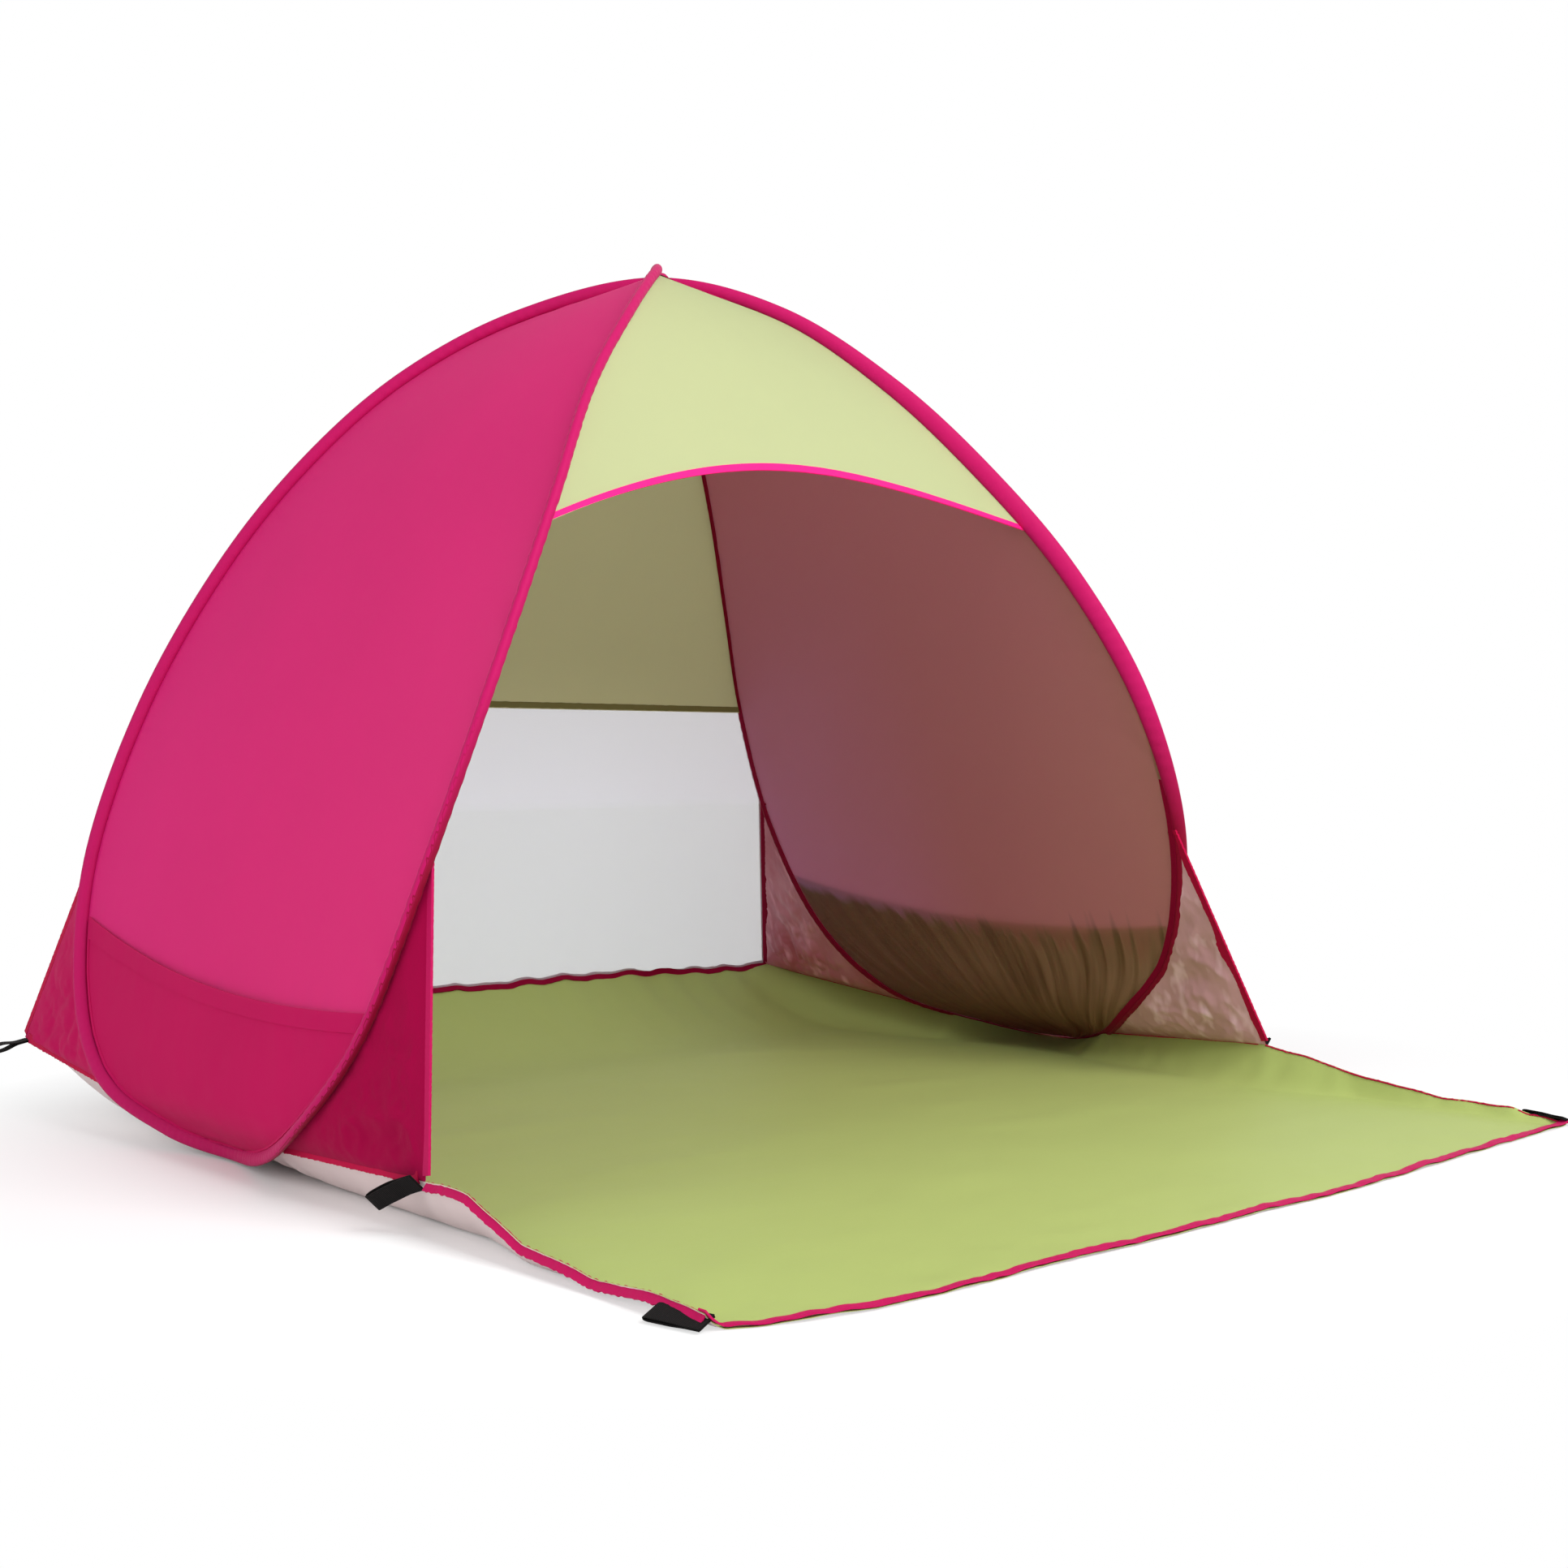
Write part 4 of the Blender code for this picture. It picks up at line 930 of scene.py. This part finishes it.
# %% Edges of the groundsheet
FLOOR_HALF_WIDTH = 0.800
THRESHOLD = -0.605
BACK_DEPTH = 0.724
CORNER_LIFT = 0.067
BACK_LIFT = 0.112
GUSSET_FOOT_SHARE = 0.870
FRONT_EDGE = ((-0.80, -1.146), (-0.755, -1.169), (-0.699, -1.190), (-0.627, -1.203),
              (-0.496, -1.205), (-0.364, -1.199), (-0.196, -1.202), (0.011, -1.196),
              (0.139, -1.198), (0.253, -1.193), (0.384, -1.181), (0.569, -1.164),
              (0.80, -1.148))
BACK_EDGE_LIFT = ((-0.80, 0.112), (-0.50, 0.124), (-0.044, 0.127), (0.099, 0.121), (0.289, 0.123),
                  (0.490, 0.115), (0.638, 0.110), (0.80, 0.108))
SIDE_EDGE_LIFT = {
    LEFT: ((-1.169, 0.017), (-1.073, 0.020), (-0.964, 0.016), (-0.885, 0.022), (-0.814, 0.029),
           (-0.761, 0.047), (-0.699, 0.064), (-0.641, 0.068), (-0.605, 0.067)),
    RIGHT: ((-1.148, 0.0025), (-1.089, 0.010), (-1.059, 0.018), (-0.942, 0.018), (-0.875, 0.026),
            (-0.759, 0.040), (-0.687, 0.055), (-0.605, 0.067))}
MAT_SHARE = 0.34
FOOT_PART, CORNER_PART = 0.55, 0.45


def back_edge_lift(x):
    """Height of the groundsheet's back edge, which hangs in small waves from the window."""
    inside = min(1.0, (FLOOR_HALF_WIDTH - abs(x)) / 0.06)
    wave = 0.0045 * smooth_noise(x * 13.0, 4.0, 0.0) + 0.002 * math.sin(x * 75.0)
    return read_table(BACK_EDGE_LIFT, x) + wave * max(inside, 0.0)


def corner(side, end):
    """A raised corner of the groundsheet."""
    if end == FRONT:
        return Vector((side * FLOOR_HALF_WIDTH, THRESHOLD, CORNER_LIFT))
    return Vector((side * FLOOR_HALF_WIDTH, BACK_DEPTH, BACK_LIFT))


def side_edge(side, t):
    """The groundsheet's side edge, from the back corner at t = 0 to the threshold at t = 1."""
    end = BACK if t < 0.5 else FRONT
    from_foot = abs(2 * t - 1)
    if from_foot < FOOT_PART:
        return seam(side, end, 1 - (1 - GUSSET_FOOT_SHARE) * from_foot / FOOT_PART)
    start = seam(side, end, GUSSET_FOOT_SHARE)
    return start.lerp(corner(side, end), (from_foot - FOOT_PART) / CORNER_PART)


def cloth_edge(side, v):
    """The side edge of the whole cloth, from the back corner down to the mat's front corner."""
    if v <= 1 - MAT_SHARE:
        return side_edge(side, v / (1 - MAT_SHARE))
    down = (v - (1 - MAT_SHARE)) / MAT_SHARE
    x = side * FLOOR_HALF_WIDTH
    y = THRESHOLD + (read_table(FRONT_EDGE, x) - THRESHOLD) * down
    return Vector((x, y, read_table(SIDE_EDGE_LIFT[side], y)))


print("corners", corner(LEFT, FRONT), corner(LEFT, BACK), "mat corner", cloth_edge(LEFT, 1.0))

# %% [markdown]
# Between its edges the cloth lies on the ground. It drops steeply just inside them, and climbs in a
# long slope to the back edge. A simulation could drop it into place, but the lifted edges are what
# shows, and a formula holds them exactly. The columns of the grid crowd together at the sides, where
# the cloth bends most. It runs across the threshold into the mat, and is fixed to neither body.

# %% Groundsheet and mat
GROUND_CLEARANCE = 0.0006
BACK_FALL = 0.330
EDGE_FALL = ((-1.20, 0.020), (-0.80, 0.022), (-0.66, 0.055), (-0.33, 0.065), (0.0, 0.085))
EDGE_CROWDING = 0.75


def floor_place(u, v):
    left, right_point = cloth_edge(LEFT, v), cloth_edge(RIGHT, v)
    point = left.lerp(right_point, u)
    down = max(0.0, (v - (1 - MAT_SHARE)) / MAT_SHARE)
    near_side = -FLOOR_HALF_WIDTH if u < 0.5 else FLOOR_HALF_WIDTH
    bowed = read_table(FRONT_EDGE, point.x) - read_table(FRONT_EDGE, near_side)
    point.y += bowed * down * down
    climb = max(0.0, (point.y - (BACK_DEPTH - BACK_FALL)) / BACK_FALL)
    base = GROUND_CLEARANCE + (back_edge_lift(point.x) - GROUND_CLEARANCE) * climb ** 2
    width = right_point.x - left.x
    distance = min(u, 1 - u) * width
    edge = left.z if u < 0.5 else right_point.z
    edge += 0.0030 * smooth_noise(point.y * 22.0, left.x, 3.0 if u < 0.5 else 8.0) * down
    fall = max(0.0, 1 - distance / read_table(EDGE_FALL, point.y)) ** 1.7
    near_edge = math.exp(-min(distance, (1 - v) * 1.6) / 0.12)
    wave = 0.0045 * near_edge * max(0.0, ripple(point, 14.0, 1.0))
    broad = 0.0034 * max(0.0, ripple(Vector((point.x, point.y * 1.6, 0.0)), 5.0, 8.0))
    slope = math.sin(math.pi * min(fall, 1.0)) * blend_between(0.30, 0.50, v)
    broad += 0.0070 * slope * ripple(Vector((left.x, point.y, 0.0)), 26.0, 3.0)
    return Vector((point.x, point.y, max(base + (edge - base) * fall, GROUND_CLEARANCE)
                   + wave + broad))


def crowded(u):
    """Move the columns of the grid towards the two sides, where the cloth bends most."""
    return (1 - EDGE_CROWDING) * u + EDGE_CROWDING * (0.5 - 0.5 * math.cos(math.pi * u))


def bend_with_mat(made, nodes, slot, **declared):
    """Bake a piece of the continuous cloth where it stands, and leave it fixed to neither body."""
    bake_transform(made)
    return finish_piece(made, slot, nodes, body=None, **declared)


flat, area = cut_size(floor_place)
groundsheet = sheet_of_cloth("groundsheet", lambda u, v: floor_place(crowded(1 - u), v), 170, 200,
                             flat, floor_lime, underside)
bend_with_mat(groundsheet, ["floor_sheet", "front_mat"], "lime_cloth", flat=flat, area=area,
              held="laid", rests_on=("studio_floor",))

# %% [markdown]
# The cloth's free edges are bound with pink tape. Sewing gathers it, so it is never quite straight.
# The tape along the mat is one piece down each side, which runs across the threshold with the cloth.

# %% Edge bindings
BINDING_WIDTH = 0.012


def cloth_side(side, t, inset=0.0):
    """A point near the cloth's side edge beside the mat, from the threshold to the front corner."""
    share = inset / (2 * FLOOR_HALF_WIDTH)
    return floor_place(share if side == LEFT else 1 - share, 1 - MAT_SHARE * (1 - t))


def hanging(side, t):
    """1 where the edge is high enough for its tape to hang down, and 0 where it lies flat."""
    return blend_between(0.004, 0.016, cloth_side(side, t).z)


# The right tape takes the darker crimson finish: painted shade on that side.
for side, name in SIDES.items():
    edge = tape_along("mat_edge_" + name,
                      lambda t: cloth_side(side, t)
                      + Vector((side * 0.0014, 0, -0.0054 * hanging(side, t))),
                      lambda t: (side * (1.3 - 0.7 * hanging(side, t)), 0, -0.8 * hanging(side, t)),
                      BINDING_WIDTH, edge_pink if side == LEFT else crimson, steps=240,
                      pucker=0.0014)
    bend_with_mat(edge, ["ear_binding_" + name, "mat_side_binding_" + name], "binding_polyester")

front_edge = tape_along("mat_front_edge",
                        lambda t: floor_place(t, 1.0) + Vector((0, 0.004, 0.0034)),
                        lambda t: (0, 1, 0.3 * smooth_noise(t * 14.0, 2.0, 0.0)),
                        BINDING_WIDTH, edge_pink, steps=300, pucker=0.0020)
finish_piece(front_edge, "binding_polyester", ["mat_front_binding"], body="mat")
back_edge = tape_along("floor_back_edge",
                       lambda t: floor_place(t, 0.0) + Vector((0, -0.004, 0.0010)),
                       lambda t: (0, 0.5 + smooth_noise(t * 9.0, 0.5, 2.0), 0.8),
                       BINDING_WIDTH * 1.4, seam_red, steps=300, pucker=0.0020)
finish_piece(back_edge, "binding_polyester", ["floor_back_binding"])

# %% [markdown]
# The rear window hangs from the hem to the groundsheet's raised back edge. It is tight from side to
# side, so each of its rows is a straight line between two edges, which run down the wire at first
# and then leave it for the corners.

# %% Rear window
GUSSET_TOP_SHARE = {FRONT: 0.596, BACK: 0.578}
WINDOW_SEAM_SHARE = 0.18


def window_edge(side, v):
    """The window's side edge: down the wire at first, then straight to the floor's corner."""
    first, last = HEM_SHARES[side], GUSSET_TOP_SHARE[BACK]
    if v < WINDOW_SEAM_SHARE:
        return seam(side, BACK, first + (last - first) * v / WINDOW_SEAM_SHARE)
    down = (v - WINDOW_SEAM_SHARE) / (1 - WINDOW_SEAM_SHARE)
    return seam(side, BACK, last).lerp(corner(side, BACK), down)


def window_place(u, v):
    left, right_point = window_edge(LEFT, v), window_edge(RIGHT, v)
    reach = (right_point - left).normalized() * 0.006
    point = (left + reach).lerp(right_point - reach, u)
    settle = (back_edge_lift(point.x) - BACK_LIFT) * v ** 3
    return point + Vector((0, 0.0008 * ripple(point, 9.0, 6.0), settle))


cut_and_fit("rear_window_cloth", window_place, 110, 60, (window,), "sheer_window",
            ["rear_window"])

# %% [markdown]
# Between the window and each loop, and again at the front, a gusset fills the corner. The gussets
# are thin and slack, so they crumple. Ridged noise, which is the absolute value of smooth noise
# turned over, gives creases with sharp tops. Tapes bind the free edge and the seam to the floor.

# %% Gussets
COARSE_CRUMPLE, FINE_CRUMPLE = 0.0085, 0.0032
GUSSET_FULLNESS = 1.06
EDGE_TAPE_WIDTH = {(LEFT, FRONT): 0.013, (RIGHT, FRONT): 0.021, (LEFT, BACK): 0.012,
                   (RIGHT, BACK): 0.021}
FLOOR_SEAM_WIDTH = 0.015


def crumple(point, scale, seed):
    """Sharp-topped creases, from -0.5 to 0.5."""
    return 0.5 - 1.8 * abs(noise.noise(point * scale + Vector((seed, seed, seed))))


def gusset_place(side, end):
    tip = corner(side, end)
    first = GUSSET_TOP_SHARE[end]
    towards_top = (wire(side, end, first) - tip).normalized()
    towards_foot = (wire(side, end, GUSSET_FOOT_SHARE) - tip).normalized()
    face = towards_top.cross(towards_foot).normalized()

    def place(u, v):
        share = first + (GUSSET_FOOT_SHARE - first) * v
        start = seam(side, end, share)
        start += (tip - start).normalized() * 0.001
        point = start.lerp(tip, u * 0.995)
        loose = math.sin(math.pi * v) ** 1.1 * math.sin(math.pi * min(u + 0.06, 1.0))
        height = (COARSE_CRUMPLE * crumple(point, 15.0, side + end)
                  + FINE_CRUMPLE * crumple(point, 44.0, end))
        return point + face * (height * loose)
    return place


for side, side_name in SIDES.items():
    for end, end_name in ENDS.items():
        name = end_name + "_" + side_name
        looks_in = side * end > 0
        outside, inside = ((gusset_pink, front_silver) if end == FRONT
                           else (pocket_pink, back_silver))
        outer, inner = (inside, outside) if looks_in else (outside, inside)
        place = gusset_place(side, end)
        sides, area = cut_size(place, GUSSET_FULLNESS)
        flat = (round(2 * area / max(sides), 3), max(sides))
        gusset = sheet_of_cloth("corner_gusset_" + name, place, 60, 90, flat, outer, inner)
        finish_piece(gusset, "sleeve_polyester", ["gusset_" + name], flat=flat, area=area,
                     held="gathered")
        tip = corner(side, end)
        top, foot = seam(side, end, GUSSET_TOP_SHARE[end]), seam(side, end, GUSSET_FOOT_SHARE)
        normal = (top - tip).cross(foot - tip).normalized()
        # Each edge tape has a lighter face and a darker one; the darker face is painted shade.
        bright, shaded = (edge_pink, crimson) if end == FRONT else (crimson, seam_red)
        faces = (bright, shaded) if looks_in else (shaded, bright)
        width = EDGE_TAPE_WIDTH[side, end]
        tuck = (foot - tip).normalized() * (width / 2 - 0.008)
        edge_tape = tape_along("gusset_edge_" + name,
                               lambda t: top.lerp(tip, 0.002 + 0.98 * t) + tuck,
                               lambda t: normal.cross(top - tip), width, faces[0],
                               thickness=0.0036, pucker=0.0012, inside=faces[1])
        finish_piece(edge_tape, "binding_polyester", ["gusset_tape_" + name])
        seam_tape = tape_along("floor_seam_tape_" + name,
                               lambda t: foot.lerp(tip, 0.02 + 0.94 * t) + Vector((0, 0, 0.003)),
                               lambda t: normal.cross(foot - tip), FLOOR_SEAM_WIDTH, crimson,
                               steps=160, thickness=0.0060, pucker=0.0016)
        finish_piece(seam_tape, "binding_polyester", ["floor_seam_" + name])

# %% [markdown]
# Loops of black webbing take the pegs. Each is a strip folded back on itself with both ends sewn in
# at the edge, so a rounded eye is left at the far end. In front they lie limp and almost flat. One
# strip is shaped by a formula and placed six times, each time with its own root and lean.

# %% Peg loops
WEBBING_WIDTH = 0.026
LOOP_LENGTH = 0.075
STRAP_CUT = (0.024, 0.15)


def strap_profile(t, eye):
    """Distance out and height of the folded strap, from one sewn end round to the other."""
    side = 1 if t < 0.5 else -1
    run = 1 - abs(2 * t - 1)
    spread = blend_between(0.2, 0.55, run)
    round_off = math.sqrt(max(0.0, 1 - blend_between(0.86, 1.0, run) ** 2))
    out = LOOP_LENGTH * min(run * 1.04, 1.0)
    return out, side * (0.0011 + eye * spread) * round_off


def strap_place(root, lean, across, eye, droop):
    along = Vector(lean).normalized()
    flat = (Vector(across) - along * Vector(across).dot(along)).normalized()
    rise = along.cross(flat).normalized()
    rise = -rise if rise.z < 0 else rise

    def place(u, v):
        out, height = strap_profile(v, eye)
        sag = Vector((0, 0, -droop * (out / LOOP_LENGTH) ** 2))
        return root + along * out + rise * height + flat * (WEBBING_WIDTH * (u - 0.5)) + sag
    return place


for side, name in SIDES.items():
    loops = {
        "outer": (Vector((side * 0.8000, -1.1500, 0.0090)), (side * 0.20, 1, 0),
                  (-side * 0.95, 0, 0.36), 0.0012, 0.0, "mat"),
        "front": (Vector((side * 0.8100, -0.6000, 0.0665)), (side * 0.30, 1, -0.30),
                  (side * 0.75, 0.3, 0.60), 0.0020, 0.010, "tent"),
        "back": (Vector((side * 0.8013, 0.7105, 0.1088)), (side, 0.1, -0.2), (0, 1, 0), 0.0046,
                 0.0, "tent")}
    for where, (root, lean, across, eye, droop, body) in loops.items():
        strap = sheet_of_cloth("webbing_loop_%s_%s" % (name, where),
                               strap_place(root, lean, across, eye, droop), 6, 60, STRAP_CUT,
                               webbing, thickness=0.0015)
        finish_piece(strap, "webbing", ["peg_loop_%s_%s" % (name, where)], body=body)

# %% [markdown]
# At the top a small pink patch fills the corner between the sleeves, so the lime panels end in a
# rounded corner. Its lower edge is hollow, which is what rounds them.

# %% Crossing patch
PATCH_REACH = 0.075
PATCH_RATIO = FRONT_END_SHARES[1] / FRONT_END_SHARES[0]


def patch_place(end):
    """A pink corner between the two sleeves. Its hollow lower edge leaves a third of its box."""
    def place(u, v):
        reach = PATCH_REACH * (0.70 + 0.30 * abs(2 * u - 1) ** 1.8)
        share = SLEEVE_FIRST_SHARE + (reach - SLEEVE_FIRST_SHARE) * v
        ratio = PATCH_RATIO if end == FRONT else 1.0
        return bridge_point(end, share, share * ratio, u) + Vector((0, end * 0.0010, 0.0022))
    return place


for end, name in ENDS.items():
    size, area = cut_size(patch_place(end))
    flat = (size[0], round(3 * area / size[0], 3))
    patch = sheet_of_cloth("crossing_patch_" + name, patch_place(end), 24, 16, flat, sleeve_pink)
    finish_piece(patch, "binding_polyester", flat=flat, area=area)

# %% [markdown]
# A pink tape is wound round the crossing and tied, and its knot stands up a little. A real knot
# could be swept along a curve, but at this size only its lumps show. So the knot is a ball pulled
# out of round, with a ring of cloth below it, and smooth noise along its normals gives the folds.

# %% Crossing tie and knot
KNOT_FOLD_SCALE = 160.0


def knot_from(made, name, amount, nodes):
    """Fold the surface of a primitive, smooth it and fix it to the tent."""
    made.name = made.data.name = name
    bpy.ops.object.transform_apply(location=True, rotation=True, scale=True)
    smoother = made.modifiers.new("smooth", "SUBSURF")
    smoother.levels = smoother.render_levels = 1
    bpy.ops.object.modifier_apply(modifier=smoother.name)
    for vertex in made.data.vertices:
        vertex.co += vertex.normal * (amount * noise.noise(vertex.co * KNOT_FOLD_SCALE))
    bpy.ops.object.shade_smooth()
    made.data.materials.append(sleeve_pink.material)
    made.select_set(False)
    return finish_piece(made, "binding_polyester", nodes)


bpy.ops.mesh.primitive_uv_sphere_add(segments=32, ring_count=20, radius=0.011,
                                     location=(0.004, -0.004, 1.3545))
bpy.ops.transform.resize(value=(1.9, 1.2, 0.66))
knot_from(bpy.context.object, "crossing_knot", 0.0014, ["apex_knot"])

bpy.ops.mesh.primitive_torus_add(major_radius=0.0125, minor_radius=0.0085, major_segments=36,
                                 minor_segments=14, location=(0, 0, HEIGHT),
                                 rotation=(0, math.pi / 2, 0))
bpy.ops.transform.resize(value=(1.2, 1.1, 0.36))
knot_from(bpy.context.object, "crossing_tie", 0.0010, ["apex_tie"])
